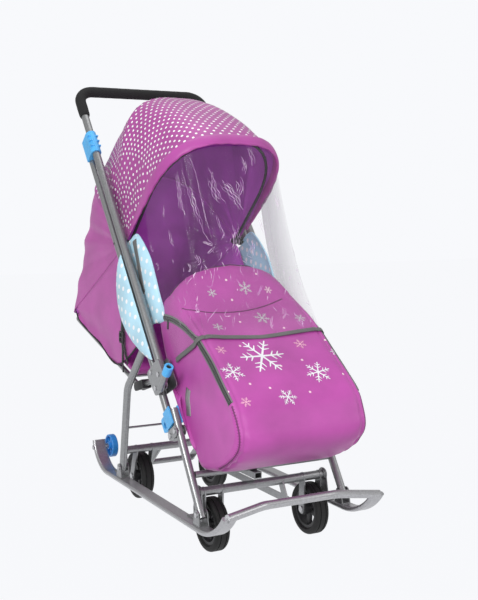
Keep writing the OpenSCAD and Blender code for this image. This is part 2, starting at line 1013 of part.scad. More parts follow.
module socket_plugs() {
    a = heading(socket_foot, socket_top);
    color(clip_blue)
        placed()
            both_sides()
                difference() {
                    side_rod(socket_x, polar(socket_top, -plug_len, a),
                        polar(socket_top, plug_cap, a), plug_d);
                    side_rod(socket_x, polar(socket_top, -plug_len - overrun, a), socket_top,
                        socket_d + 2 * run_clear);
                    side_rod(socket_x, polar(socket_top, -overrun, a),
                        polar(socket_top, plug_cap + overrun, a), plug_hole);
                }
}

// Handle with its foam grip, in a frame along the handle from its pivot
handle_below = 14;

module on_handle() {
    along_side(handle_pivot, upright_angle)
        children();
}

module handle_loop(d, start) {
    both_sides() {
        translate([frame_x, 0, start])
            cylinder(h = handle_len - handle_bend - start, d = d);
        translate([frame_x - handle_bend, 0, handle_len - handle_bend])
            rotate([90, 0, 0])
                rotate_extrude(angle = 90)
                    translate([handle_bend, 0])
                        circle(d = d);
    }
    translate([handle_bend - frame_x, 0, handle_len])
        rotate([0, 90, 0])
            cylinder(h = 2 * (frame_x - handle_bend), d = d);
}

module handle_tube() {
    color(steel)
        placed()
            difference() {
                on_handle()
                    handle_loop(handle_d, -handle_below);
                cross_rod(handle_pivot, -frame_x - handle_d, frame_x + handle_d, rivet_d + 2 * run_clear);
            }
}

module foam_grip() {
    color(black)
        placed()
            on_handle()
                difference() {
                    handle_loop(foam_d, handle_len - foam_drop);
                    handle_loop(handle_d + 2 * run_clear, handle_len - foam_drop - overrun);
                }
}

// Clips that slide on the handle and hook over the uprights' top ends
hclip_drop = 17;
hclip_len = 72;
hclip_wall = 4;
hclip_slot = 0.4;
hclip_roof_gap = 1;
hclip_lip = 2;
hclip_ridge = 3;
hclip_ridges = 3;

module handle_clip() {
    ring = handle_d / 2 + hclip_wall;
    slot = tube_d / 2 + hclip_slot;
    low = upright_len - hclip_drop - handle_along;
    roof = upright_len + hclip_roof_gap - handle_along;
    difference() {
        union() {
            translate([frame_x, 0, low])
                cylinder(h = hclip_len, r = ring);
            translate([frame_x - ring, 0, low])
                cube([2 * ring, handle_offset + hclip_lip, hclip_len]);
            for (k = [1 : hclip_ridges])
                translate([frame_x - ring, -ring - hclip_ridge / 2 + hclip_lip,
                    low + k * hclip_len / (hclip_ridges + 1)])
                    cube([2 * ring, ring, hclip_ridge]);
        }
        translate([frame_x, 0, low - overrun])
            cylinder(h = hclip_len + 2 * overrun, d = handle_d + 2 * run_clear);
        translate([frame_x, handle_offset, low - overrun])
            cylinder(h = roof - low + overrun, r = slot);
        translate([frame_x - slot, handle_offset, low - overrun])
            cube([2 * slot, slot, roof - low + overrun]);
    }
}

module handle_clip_left() {
    color(clip_blue)
        placed()
            on_handle()
                handle_clip();
}

module handle_clip_right() {
    color(clip_blue)
        placed()
            on_handle()
                mirror([1, 0, 0])
                    handle_clip();
}

// Fold latches that slide on the uprights and straddle the front legs
latch_start = 17;
latch_len = 46;
latch_wall = 4;
latch_reach = 36;
latch_web = 19;
latch_tab = 41;
latch_tab_t = 12;
latch_hole = 17;
latch_round = 8;

module fold_latch() {
    side = tube_d / 2 + latch_wall;
    leg_slot = tube_d / 2 + 2 * seat_gap;
    difference() {
        union() {
            translate([frame_x, 0, latch_start])
                cylinder(h = latch_len, r = side);
            translate([frame_x - side, -latch_reach, latch_start])
                cube([2 * side, latch_reach, latch_len]);
            translate([frame_x - latch_tab_t / 2, 0, latch_start])
                rotate([90, 0, 90])
                    linear_extrude(latch_tab_t)
                        rounded([[latch_round, latch_round],
                            [latch_tab - latch_round, latch_round * 2],
                            [latch_tab - latch_round, latch_len - latch_round],
                            [latch_round, latch_len - latch_round]], latch_round);
        }
        translate([frame_x, 0, latch_start - overrun])
            cylinder(h = latch_len + 2 * overrun, d = tube_d + 2 * run_clear);
        translate([frame_x - leg_slot, -latch_reach - overrun, latch_start - overrun])
            cube([2 * leg_slot, latch_reach - latch_web + overrun, latch_len + 2 * overrun]);
        translate([frame_x - side, latch_tab - latch_hole, latch_start + latch_len / 2])
            rotate([0, 90, 0])
                cylinder(h = 2 * side, d = latch_hole);
    }
}

module on_upright() {
    along_side(fold_pivot, upright_angle)
        children();
}

module fold_latch_left() {
    color(clip_blue)
        placed()
            on_upright()
                fold_latch();
}

module fold_latch_right() {
    color(clip_blue)
        placed()
            on_upright()
                mirror([1, 0, 0])
                    fold_latch();
}

// Seat frame, recline hinges and the seat pad
seat_angle = heading(seat_front, recline_pivot);
seat_span = span(seat_front, recline_pivot);
hinge_short = 16;
hinge_block = 34;
hinge_cheek = 5;
hinge_play = 0.4;
hinge_round = 12;
hinge_pin_d = 8;
rear_rod_share = 0.62;

module on_seat() {
    along_side(seat_front, seat_angle)
        children();
}

module seat_frame() {
    color(steel)
        placed() {
            both_sides() {
                side_rod(seat_x, seat_front, polar(recline_pivot, -hinge_short, seat_angle), seat_d);
                cross_rod(seat_front, seat_x, frame_x - plate_in - run_clear, seat_pin_d);
                translate([seat_x, seat_front[0], seat_front[1]])
                    sphere(d = seat_d);
            }
            cross_rod(seat_front, -seat_x, seat_x, seat_d);
            cross_rod(lerp(seat_front, recline_pivot, rear_rod_share), -seat_x, seat_x, seat_d);
        }
}

module recline_hinges() {
    inner = seat_d / 2 + hinge_play;
    outer = inner + hinge_cheek;
    color(black)
        placed()
            both_sides() {
                difference() {
                    union() {
                        for (s = [-1, 1])
                            plate(seat_x + s * (inner + hinge_cheek / 2) - hinge_cheek / 2,
                                seat_x + s * (inner + hinge_cheek / 2) + hinge_cheek / 2)
                                capsule(polar(recline_pivot, -hinge_block, seat_angle), recline_pivot,
                                    2 * hinge_round);
                        plate(seat_x - outer, seat_x + outer)
                            translate(polar(recline_pivot, -hinge_block - hinge_short, seat_angle))
                                rotate(seat_angle)
                                    translate([0, -hinge_round])
                                        square([hinge_block, 2 * hinge_round]);
                    }
                    side_rod(seat_x, seat_front, polar(recline_pivot, -hinge_short + overrun, seat_angle),
                        seat_d + 2 * run_clear);
                }
                cross_rod(recline_pivot, seat_x - outer, seat_x + outer, hinge_pin_d);
            }
}

// A pad in a frame whose local Z runs along it and whose local Y points down
pad_crown = 7;
pad_edge_share = 0.55;
pad_channels = 3;
pad_channel_depth = 4;
pad_cols = 14;
pad_rows = 18;

function pad_crown_at(u, v) = pow(max(0, 1 - pow(abs(2 * u - 1), 6)), 0.5)
    * pow(max(0, 1 - pow(abs(2 * v - 1), 6)), 0.5);
function pad_top(u, v) = pad_t * lerp(pad_edge_share, 1, pad_crown_at(u, v))
    - pad_channel_depth * pad_crown_at(u, v) * pow(abs(cos(180 * v * (pad_channels + 1))), 12);

module pad(half, start, stop) {
    drawn = pad_crown;
    outer = [for (i = [0 : pad_rows]) let (v = i / pad_rows)
        [for (j = [0 : pad_cols]) let (u = j / pad_cols)
            [lerp(-half, half, u), -seat_d / 2 - seat_gap - pad_top(u, v), lerp(start, stop, v)]]];
    inner = [for (i = [0 : pad_rows]) let (v = i / pad_rows)
        [for (j = [0 : pad_cols]) let (u = j / pad_cols)
            [lerp(-half + drawn, half - drawn, u), -seat_d / 2 - seat_gap,
                lerp(start + drawn, stop - drawn, v)]]];
    slab(outer, inner);
}

seat_pad_start = 4;
seat_pad_short = 24;
back_pad_start = 46;
back_pad_short = 8;
back_pad_over = 2;

module seat_pad() {
    inner = seat_x - seat_d / 2 - hinge_play - hinge_cheek;
    color(violet)
        placed()
            on_seat()
                pad(inner - seat_gap, seat_pad_start, seat_span - seat_pad_short);
}

// Backrest frame and pad, in a frame along the backrest from its hinge
back_bend = 42;
back_rod_at = 70;
back_rod_d = 11;
eye_d = 18;
eye_w = 12;

module on_back() {
    along_side(recline_pivot, back_angle)
        children();
}

module back_frame() {
    color(steel)
        placed()
            on_back()
                difference() {
                    union() {
                        both_sides() {
                            translate([seat_x, 0, 0])
                                cylinder(h = back_len - back_bend, d = seat_d);
                            translate([seat_x - eye_w / 2, 0, 0])
                                rotate([0, 90, 0])
                                    cylinder(h = eye_w, d = eye_d);
                            translate([seat_x - back_bend, 0, back_len - back_bend])
                                rotate([90, 0, 0])
                                    rotate_extrude(angle = 90)
                                        translate([back_bend, 0])
                                            circle(d = seat_d);
                        }
                        translate([back_bend - seat_x, 0, back_len])
                            rotate([0, 90, 0])
                                cylinder(h = 2 * (seat_x - back_bend), d = seat_d);
                        translate([-seat_x, 0, back_rod_at])
                            rotate([0, 90, 0])
                                cylinder(h = 2 * seat_x, d = back_rod_d);
                    }
                    translate([-seat_x - seat_d, 0, 0])
                        rotate([0, 90, 0])
                            cylinder(h = 2 * (seat_x + seat_d), d = hinge_pin_d + 2 * run_clear);
                }
}

module back_pad() {
    color(violet)
        placed()
            on_back()
                pad(seat_x + back_pad_over, back_pad_start, back_len - back_pad_short);
}

// Hood: shells of revolution about the pivot line, with the front shell over the rear one
hood_step = 1.5;
hood_side_r = 170;
hood_square = 2.3;
hood_start_r = 46;
hood_overlap = 5;
hood_split = 88;
hood_tab_d = 26;
hood_tab_r = 64;
hood_band = 8;
hood_band_t = 6;
hood_band_side = 2;
hood_band_back = 0.3;
hood_band_start = 58;
hood_segments = 20;
hood_pin_d = 8;
hood_boss_d = 24;

function arch(half, crown, side_r) = [for (k = [0 : hood_segments])
    let (a = 180 * k / hood_segments)
    [side_r + (crown - side_r) * pow(sin(a), 2 / hood_square),
        half * signed_power(cos(a), 2 / hood_square)]];

module on_hood() {
    translate([0, hood_pivot[0], hood_pivot[1]])
        rotate([90, 0, 90])
            children();
}

// A shell from one angle to the next, with its own thickness at the sides and at the crown
module hood_shell(half, crown, start, from, to, side_t, crown_t) {
    rotate([0, 0, from])
        rotate_extrude(angle = to - from, $fn = 96)
            polygon(concat([[start, half]], arch(half, crown, hood_side_r), [[start, -half]],
                [[start, side_t - half]],
                backwards(arch(half - side_t, crown - crown_t, hood_side_r)),
                [[start, half - side_t]]));
}

module hood_tabs(half, t, angle) {
    for (s = [-1, 1])
        translate([0, 0, s * (half - t / 2) - t / 2])
            linear_extrude(t)
                difference() {
                    capsule([0, 0], polar([0, 0], hood_tab_r, angle), hood_tab_d);
                    circle(d = hood_pin_d + 2 * run_clear);
                }
}

module hood_front() {
    color(dotted_violet)
        placed()
            on_hood() {
                hood_shell(hood_half, hood_r, hood_start_r, hood_split, hood_front_angle, cloth_t, cloth_t);
                hood_shell(hood_half + hood_band_side, hood_r + hood_band_t, hood_band_start,
                    hood_front_angle - hood_band, hood_front_angle - hood_band_back,
                    hood_band_side + cloth_t / 2, hood_band_t + cloth_t / 2);
                hood_tabs(hood_half, cloth_t, (hood_split + hood_front_angle) / 2);
            }
}

module hood_rear() {
    half = hood_half - cloth_t - hood_step;
    color(dotted_violet)
        placed()
            on_hood() {
                hood_shell(half, hood_r - cloth_t - hood_step, hood_start_r, hood_rear_angle,
                    hood_split + hood_overlap, cloth_t, cloth_t);
                hood_tabs(half, cloth_t, (hood_split + hood_rear_angle) / 2);
            }
}

bow_d = 8;
bow_rings = 28;
bow_sides = 8;
bow_gap = 2.5;
bow_inset_angle = 4;
bow_half = hood_half - 2 * cloth_t - hood_step - bow_gap - bow_d / 2;
bow_crown = hood_r - 2 * cloth_t - hood_step - bow_gap - bow_d / 2;
bow_eye_d = 18;
bow_eye_w = 11;

// The bow follows the arch in the hood's front plane, from pin to pin
module hood_bow() {
    foot = bow_eye_d / 2 - bow_gap;
    path = concat([[foot, bow_half]],
        [for (k = [0 : bow_rings]) let (a = 180 * k / bow_rings)
            [hood_side_r + (bow_crown - hood_side_r) * pow(sin(a), 2 / hood_square),
                bow_half * signed_power(cos(a), 2 / hood_square)]],
        [[foot, -bow_half]]);
    last = len(path) - 1;
    rings = [for (i = [0 : last])
        let (p = path[i], d = path[min(i + 1, last)] - path[max(i - 1, 0)])
        let (n = [d[1], -d[0]] / norm(d))
        [for (k = [0 : bow_sides - 1]) let (a = 360 * k / bow_sides, out = bow_d / 2 * cos(a))
            [p[0] + out * n[0], -bow_d / 2 * sin(a), p[1] + out * n[1]]]];
    color(black)
        placed()
            on_hood()
                rotate([0, 0, hood_front_angle - bow_inset_angle]) {
                    loft(rings);
                    for (e = [-1, 1])
                        translate([0, 0, e * bow_half])
                            difference() {
                                cylinder(h = bow_eye_w, d = bow_eye_d, center = true);
                                cylinder(h = 2 * bow_eye_w, d = hood_pin_d + 2 * run_clear, center = true);
                            }
                }
}

module hood_pivots() {
    inner = bow_half - bow_eye_w / 2 - seat_gap;
    boss = hood_half + seat_gap;
    color(black)
        placed()
            both_sides() {
                cross_rod(hood_pivot, inner - rivet_head_t, frame_x + tube_d / 2, hood_pin_d);
                cross_rod(hood_pivot, inner - rivet_head_t, inner, rivet_head_d);
                cross_rod(hood_pivot, boss, frame_x - tube_d / 2, hood_boss_d);
            }
}

// Cloth from the hood's rear edge to the backrest's far end, with flat side gussets
cover_rows = 7;
cover_cols = 16;
cover_share = 0.2;
cover_half = hood_half + cloth_t * cover_share;
cover_square = 5;
cover_side_share = 0.88;
cover_start_r = 60;
cover_edge_gap = 0.4;
cover_sag = 3;
cover_lap = 3;
cover_edge_angle = hood_rear_angle - asin(cover_edge_gap / hood_start_r);
hood_edge = polar(hood_pivot, hood_r - cloth_t - hood_step, cover_edge_angle);
cover_tip = back_tip + [seat_d / 2 + cover_gap + cloth_t, 0];

function cover_ring(t, t_in) =
    let (bulge = cover_sag * sin(180 * t))
    let (apex = lerp(hood_edge, cover_tip, t) + [bulge, bulge * cover_share])
    let (r = span(hood_pivot, apex) - t_in, a = heading(hood_pivot, apex))
    let (n = lerp(hood_square, cover_square, t), side = lerp(hood_side_r, cover_side_share * r, t))
    let (half = lerp(hood_half - cloth_t - hood_step, cover_half, min(1, 2 * t)) - t_in)
    [for (k = [-1 : cover_cols + 1])
        let (b = 180 * min(max(k, 0), cover_cols) / cover_cols)
        let (x = half * signed_power(cos(b), 2 / n))
        let (q = side + (r - side) * signed_power(sin(b), 2 / n))
        let (reach = k < 0 || k > cover_cols ? cover_start_r : q)
        [x, hood_pivot[0] + reach * cos(a), hood_pivot[1] + reach * sin(a)]];

gusset_low_share = 0.24;
gusset_lift = 12;
gusset_drop = 50;
gusset_low_place = [330, -14];
gusset_top_place = [hood_along - gusset_drop, -10];

module back_cover() {
    tip_angle = heading(hood_pivot, cover_tip);
    low = polar(lerp(recline_pivot, back_tip, gusset_low_share), gusset_lift, back_angle + 90);
    color(violet)
        placed() {
            slab([for (i = [0 : cover_rows]) cover_ring(i / cover_rows, 0)],
                [for (i = [0 : cover_rows]) cover_ring(i / cover_rows, cloth_t)]);
            both_sides()
                plate(cover_half - cloth_t, cover_half)
                    polygon([polar(hood_pivot, cover_start_r, tip_angle + cover_lap),
                        upright_at(gusset_top_place), upright_at(gusset_low_place), low,
                        polar(hood_pivot, cover_side_share * span(hood_pivot, cover_tip), tip_angle),
                        polar(hood_pivot, cover_side_share * cover_side_share * span(hood_pivot, cover_tip),
                            tip_angle + cover_lap)]);
        }
}

// Inner side walls in front of the uprights, each with a sleeve beside its upright
wall_inset = 19.2;
wall_x = frame_x - wall_inset;
wall_start = 322;
wall_drop = 30;
wall_stop = hood_along - wall_drop;
wall_shares = [0, -0.16, -0.2, 0.15, 0.56, 0.92, 1, 1];
wall_aheads = [0, 62, 98, 104, 116, 102, 64, 0];
wall_places = [for (i = [0 : len(wall_shares) - 1])
    [lerp(wall_start, wall_stop, wall_shares[i]), wall_aheads[i]]];
wall_round = 6;
sleeve_half = 9;
sleeve_inset = 4;
sleeve_start = wall_start + sleeve_inset;
sleeve_stop = wall_stop - sleeve_inset;

module side_walls() {
    color(sky)
        placed()
            both_sides() {
                plate(wall_x, wall_x + cloth_t)
                    on_upright_2d()
                        rounded(wall_places, wall_round);
                plate(wall_x, frame_x - tube_d / 2 - seat_gap)
                    on_upright_2d()
                        translate([sleeve_start, -sleeve_half])
                            square([sleeve_stop - sleeve_start, 2 * sleeve_half]);
            }
}

// Padded wings outside the uprights, swelling towards their middle
wing_start = 204;
wing_drop = 52;
wing_stop = hood_along - wing_drop;
wing_front = 23;
wing_swell = 104;
wing_t = 12;
wing_edge = 2.5;
wing_rows = 14;
wing_cols = 8;
wing_skew = 1.5;

function wing_rear(v) = wing_front - wing_swell * pow(sin(180 * pow(v, wing_skew)), 0.7);
function wing_point(u, v, deep) =
    let (place = [lerp(wing_start, wing_stop, v), lerp(wing_front, wing_rear(v), u) - wing_edge * u])
    let (p = upright_at(place), crown = pow(sin(180 * u), 0.6) * pow(sin(180 * v), 0.4))
    let (x = frame_x + tube_d / 2 + seat_gap)
    [x + (deep ? 0 : wing_edge + (wing_t - wing_edge) * crown), p[0], p[1]];

function wing_grid(deep) = [for (i = [0 : wing_rows])
    [for (j = [0 : wing_cols]) wing_point(j / wing_cols, i / wing_rows, deep)]];

module side_wing() {
    slab(wing_grid(false), wing_grid(true));
}

module side_wing_left() {
    color(sky)
        placed()
            side_wing();
}

module side_wing_right() {
    color(sky)
        placed()
            mirror([1, 0, 0])
                side_wing();
}

// Footmuff: a padded boot lofted across its width, open towards the seat
muff_gap = 0.4;
muff_rear_y = -68;
muff_low_z = leg_cross[1] + cross_d / 2 + muff_gap;
muff_round = 24;
muff_sag = 16;
muff_push = 90;
// Shares of the length ahead of the rear edge and of the height above the lowest point
muff_shares = [[0.02, 0.56], [0.05, 0.48], [0.2, 0.335], [0.36, 0.14], [0.47, 0], [0.6, 0.006],
    [0.74, 0.045], [0.91, 0.15], [1, 0.275], [0.975, 0.39], [0.92, 0.5], [0.79, 0.62], [0.65, 0.73],
    [0.45, 0.87], [0.26, 0.97], [0.11, 1], [0.03, 0.96], [0.02, 0.7]];
// Shares of the ears that reach back beside the seat at the top of the sides
muff_ear_shares = [0.1, 0, 0, 0, 0, 0, 0, 0, 0, 0, 0, 0, 0, 0, 0, 0.2, 1, 0.6];
muff_ear = 60;
muff_dome_shares = [0, 0, 0, 0, 0, 0, 0, 0, 0, 0, 0, 0, 0, 0, 0.08, 0.6, 1, 0.2];
muff_sag_shares = [0, 0, 0, 0, 0, 0, 0, 0.1, 0.3, 0.5, 0.7, 0.9, 1, 1, 0.8, 0, 0, 0];
muff_rear_shares = [1, 0, 0, 0, 0, 0, 0, 0, 0, 0, 0, 0, 0, 0, 0, 0, 1, 1];
muff_station_shares = [-1, -0.97, -0.88, -0.66, -0.34, 0, 0.34, 0.66, 0.88, 0.97, 1];
muff_inset_shares = [1, 0.45, 0.12, 0, 0, 0, 0, 0, 0.12, 0.45, 1];
muff_middle = [muff_rear_y - muff_len / 2, muff_low_z + muff_h / 2];

function muff_ring(x_share, inset, half, push) =
    let (dome = dome_rise * pow(cos(90 * x_share), 0.9), sag = muff_sag * cos(90 * x_share))
    [for (k = [0 : len(muff_shares) - 1])
        let (s = muff_shares[k], ear = muff_ear * muff_ear_shares[k] * pow(abs(x_share), 8))
        let (p = [muff_rear_y - s[0] * muff_len + ear,
            muff_low_z + s[1] * muff_h + dome * muff_dome_shares[k] - sag * muff_sag_shares[k]])
        let (q = p + (muff_middle - p) * inset / span(p, muff_middle))
        [x_share * half, q[0] + push * muff_rear_shares[k], q[1]]];

module footmuff() {
    last = len(muff_station_shares) - 1;
    color(violet)
        placed()
            difference() {
                loft([for (i = [0 : last])
                    muff_ring(muff_station_shares[i], muff_round * muff_inset_shares[i], muff_half, 0)]);
                loft([for (i = [0 : last])
                    muff_ring(muff_station_shares[i], muff_wall + muff_round * muff_inset_shares[i],
                        muff_half - muff_wall, muff_push)]);
            }
}

// Clear rain cover from the hood's front edge down to the footmuff, hanging in soft waves
film_t = 1.2;
film_rows = 8;
film_cols = 42;
film_edge_angle = 0.6;
film_over = 5;
film_half = muff_half + film_over;
film_side = [-135, 470];
film_middle = [-275, 520];
film_bulge = 18;
film_lift = 16;
film_square = 0.06;
film_wave = 4;
film_waves = 7;

// The film starts along the hood's arch and ends along its hem
function film_top(a, t_in) =
    let (r = hood_side_r + (hood_r - t_in - hood_side_r) * pow(sin(a), 2 / hood_square))
    let (e = hood_front_angle + film_edge_angle)
    [(hood_half - t_in) * signed_power(cos(a), 2 / hood_square),
        hood_pivot[0] + r * cos(e), hood_pivot[1] + r * sin(e)];
function film_hem(a, t_in) =
    [(film_half - t_in) * signed_power(cos(a), film_square),
        lerp(film_side[0], film_middle[0], pow(sin(a), 0.8)) + t_in * sin(a),
        lerp(film_side[1], film_middle[1], pow(sin(a), 0.4)) + film_lift * pow(sin(2 * a), 2)];
function film_point(u, v, t_in) =
    let (a = 180 * v)
    let (out = film_bulge + film_wave * cos(360 * film_waves * v))
    lerp(film_top(a, t_in), film_hem(a, t_in), u) - [0, out * sin(180 * u) * sin(a), 0];
function film_grid(t_in) = [for (i = [0 : film_rows])
    [for (j = [0 : film_cols]) film_point(i / film_rows, j / film_cols, t_in)]];

module rain_cover() {
    color(clear_film)
        placed()
            slab(film_grid(0), film_grid(film_t));
}

// Recline straps with their buckles, on the gussets
strap_t = 1.5;
strap_w = 20;
buckle_t = 5;
buckle_h = 30;
buckle_w = 28;
strap_x = cover_half + seat_gap;
strap_top = [222, 530];
strap_buckle = [225, 470];
strap_tail_low = [221, 372];
strap_tail_ahead = [186, 400];
strap_tail_share = 0.5;
strap_fork_share = 0.1;

module recline_straps() {
    color(black)
        placed()
            both_sides() {
                plate(strap_x, strap_x + strap_t) {
                    capsule(strap_top, strap_buckle, strap_w);
                    capsule(strap_buckle, strap_tail_low, strap_w * strap_tail_share);
                    capsule(lerp(strap_buckle, strap_tail_ahead, strap_fork_share), strap_tail_ahead,
                        strap_w * strap_tail_share);
                }
                plate(strap_x, strap_x + buckle_t)
                    translate(strap_buckle)
                        square([buckle_w, buckle_h], center = true);
            }
}

runner_left();
runner_right();
front_bar();
front_brackets();
rear_brackets();
foot_clips();
foot_rivets();
front_swing_axle();
rear_swing_axle();
link_bar();
front_axle_bolts();
rear_axle_bolts();
front_tyre_left();
front_tyre_right();
rear_tyre_left();
rear_tyre_right();
front_rim_left();
front_rim_right();
rear_rim_left();
rear_rim_right();
transport_wheel_left();
transport_wheel_right();
transport_bolts();
front_leg_left();
front_leg_right();
leg_cross_tube();
footrest_rail();
fold_ears();
fold_rivets();
rear_leg_left();
rear_leg_right();
rear_brace_rod();
upright_left();
upright_right();
hinge_plates();
plate_rivets();
bumper_sockets();
socket_plugs();
handle_tube();
foam_grip();
handle_clip_left();
handle_clip_right();
fold_latch_left();
fold_latch_right();
seat_frame();
recline_hinges();
seat_pad();
back_frame();
back_pad();
hood_pivots();
hood_rear();
hood_front();
hood_bow();
back_cover();
side_walls();
side_wing_left();
side_wing_right();
footmuff();
rain_cover();
recline_straps();
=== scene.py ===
import json
import math
import random

import bmesh
import bpy
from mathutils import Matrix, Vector, noise
from mathutils.bvhtree import BVHTree

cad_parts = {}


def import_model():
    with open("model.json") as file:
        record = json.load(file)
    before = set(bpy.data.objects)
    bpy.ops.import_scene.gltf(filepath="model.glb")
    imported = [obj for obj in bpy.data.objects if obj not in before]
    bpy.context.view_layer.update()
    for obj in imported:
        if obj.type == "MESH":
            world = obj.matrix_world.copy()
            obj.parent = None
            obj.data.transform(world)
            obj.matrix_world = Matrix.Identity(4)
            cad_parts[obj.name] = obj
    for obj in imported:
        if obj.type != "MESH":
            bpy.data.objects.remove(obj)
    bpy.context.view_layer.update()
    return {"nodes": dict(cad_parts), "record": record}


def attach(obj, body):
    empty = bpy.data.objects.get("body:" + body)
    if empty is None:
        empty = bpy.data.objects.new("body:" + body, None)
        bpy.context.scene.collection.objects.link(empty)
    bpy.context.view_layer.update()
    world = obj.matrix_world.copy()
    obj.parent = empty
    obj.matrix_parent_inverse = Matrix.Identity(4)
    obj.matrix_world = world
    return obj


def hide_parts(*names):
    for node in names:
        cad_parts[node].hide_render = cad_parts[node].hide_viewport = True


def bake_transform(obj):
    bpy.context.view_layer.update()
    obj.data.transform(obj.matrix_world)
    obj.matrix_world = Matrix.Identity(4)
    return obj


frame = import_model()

random.seed(11)
scene = bpy.context.scene
nodes = frame["nodes"]

# Places are written in millimetres, [y, z] in side view from the middle of the wheelbase,
# and world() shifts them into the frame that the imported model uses.
Y_SHIFT = -95.993
FOLD = (-168.69, 275.03)
UPRIGHT_ANGLE = 51.3
RECLINE = (131.1, 346.2)
BACK_ANGLE = 15.5
BACK_LEN = 537


def world(p):
    return Vector((p[0], p[1] + Y_SHIFT, p[2])) * 0.001


def sind(a):
    return math.sin(math.radians(a))


def cosd(a):
    return math.cos(math.radians(a))


def lerp(a, b, t):
    return a + (b - a) * t


def mix(p, q, t):
    return tuple(lerp(a, b, t) for a, b in zip(p, q))


def clamp(v, low=0, high=1):
    return min(max(v, low), high)


def power(v, n):
    return math.copysign(abs(v) ** n, v)


def polar(p, r, a):
    return (p[0] + r * cosd(a), p[1] + r * sind(a))


def bearing(p, q):
    return math.degrees(math.atan2(q[1] - p[1], q[0] - p[0]))


def waver(*at):
    """Smooth noise, between about -1 and 1."""
    return noise.noise(Vector(at))


def upright_at(along, ahead):
    return polar(polar(FOLD, along, UPRIGHT_ANGLE), ahead, UPRIGHT_ANGLE + 90)


def back_at(along, above):
    return polar(polar(RECLINE, along, BACK_ANGLE), above, BACK_ANGLE + 90)


HOOD = upright_at(586, 0)
TIP = back_at(BACK_LEN, 0)


# Materials
def linear(rgb):
    return tuple(c / 12.92 if c <= 0.04045 else ((c + 0.055) / 1.055) ** 2.4 for c in rgb) + (1.0,)


def put(node, **values):
    """Sets inputs of a node by their names."""
    for key, value in values.items():
        node.inputs[key.replace("_", " ")].default_value = value
    return node


class Tree:
    """A short way to write a node tree."""

    def __init__(self, owner):
        owner.use_nodes = True
        self.tree = owner.node_tree

    def add(self, kind, **values):
        node = self.tree.nodes.new(kind)
        for key, value in values.items():
            setattr(node, key, value)
        return node

    def link(self, a, b):
        self.tree.links.new(a, b)

    def math(self, operation, a, b=None):
        node = self.add("ShaderNodeMath", operation=operation)
        for value, socket in zip((a,) if b is None else (a, b), node.inputs):
            if isinstance(value, (int, float)):
                socket.default_value = value
            else:
                self.link(value, socket)
        return node.outputs[0]

    def vector(self, operation, a, b=None):
        node = self.add("ShaderNodeVectorMath", operation=operation)
        self.link(a, node.inputs[0])
        if b:
            node.inputs[1].default_value = b
        return node.outputs["Value" if operation == "DISTANCE" else "Vector"]

    def either(self, share, a, b, surface):
        """Mixes two shaders and links them to the tree's end."""
        node = self.add("ShaderNodeMixShader")
        for value, socket in zip((share, a, b), node.inputs):
            self.link(value, socket)
        self.link(node.outputs["Shader"], surface)


class Nodes(Tree):
    """A material's tree around one Principled shader."""

    def __init__(self, name):
        self.material = bpy.data.materials.new(name)
        super().__init__(self.material)
        self.shader = self.tree.nodes["Principled BSDF"]

    def into(self, name, value):
        self.link(value, self.shader.inputs[name])

    def coords(self, kind="Object"):
        return self.add("ShaderNodeTexCoord").outputs[kind]

    def noise(self, scale, detail, stretch=None):
        source = self.coords()
        if stretch:
            mapping = put(self.add("ShaderNodeMapping"), Scale=stretch)
            self.link(source, mapping.inputs["Vector"])
            source = mapping.outputs["Vector"]
        node = put(self.add("ShaderNodeTexNoise"), Scale=scale, Detail=detail)
        self.link(source, node.inputs["Vector"])
        return node.outputs["Fac"]

    def ramp(self, fac, low, high, stops=(0.3, 0.7)):
        node = self.add("ShaderNodeValToRGB")
        for element, colour, at in zip(node.color_ramp.elements, (low, high), stops):
            element.color = colour
            element.position = at
        self.link(fac, node.inputs["Fac"])
        return node.outputs["Color"]

    def tint(self, fac, rgb, low, high):
        """A colour that wavers between two shades of itself."""
        return self.ramp(fac, linear(shade(rgb, low)), linear(shade(rgb, high)))

    def bump(self, height, strength, distance=0.001):
        node = put(self.add("ShaderNodeBump"), Strength=strength, Distance=distance)
        self.link(height, node.inputs["Height"])
        self.into("Normal", node.outputs["Normal"])


def shade(rgb, k):
    return tuple(min(1.0, c * k) for c in rgb)


def cloth(name, rgb, rough, sheen, weave=700.0, dots=None):
    n = Nodes(name)
    put(n.shader, Roughness=rough, Sheen_Weight=sheen, Sheen_Roughness=0.35)
    colour = n.tint(n.noise(9.0, 4.0), rgb, 0.92, 1.04)
    if dots:
        dot_rgb, step, size = dots
        scaled = n.vector("MULTIPLY", n.coords("UV"), (1.0 / step,) * 3)
        away = []
        for shift in (0.0, 0.5):
            part = n.vector("FRACTION", n.vector("ADD", scaled, (shift, shift, 0.5)))
            away.append(n.vector("DISTANCE", part, (0.5, 0.5, 0.5)))
        nearest = n.math("MINIMUM", *away)
        half = size / step / 2
        edge = n.ramp(nearest, (1, 1, 1, 1), (0, 0, 0, 1), (half - 0.012, half + 0.012))
        mixed = put(n.add("ShaderNodeMix", data_type="RGBA"), B=linear(dot_rgb))
        n.link(edge, mixed.inputs["Factor"])
        n.link(colour, mixed.inputs["A"])
        colour = mixed.outputs["Result"]
    n.into("Base Color", colour)
    warp = put(n.add("ShaderNodeTexWave", wave_type="BANDS", bands_direction="DIAGONAL"), Scale=weave)
    n.link(n.coords(), warp.inputs["Vector"])
    crease = n.noise(38.0, 5.0)
    n.bump(n.math("ADD", n.math("MULTIPLY", warp.outputs["Fac"], 0.25), crease), 0.12)
    return n.material


def metal(name, rgb, rough):
    n = Nodes(name)
    put(n.shader, Metallic=0.82)
    speck = n.noise(260.0, 2.0)
    n.into("Base Color", n.tint(speck, rgb, 0.94, 1.05))
    smear = n.noise(14.0, 3.0)
    n.into("Roughness", n.math("ADD", n.math("MULTIPLY", smear, 0.12), rough))
    n.bump(speck, 0.02)
    return n.material


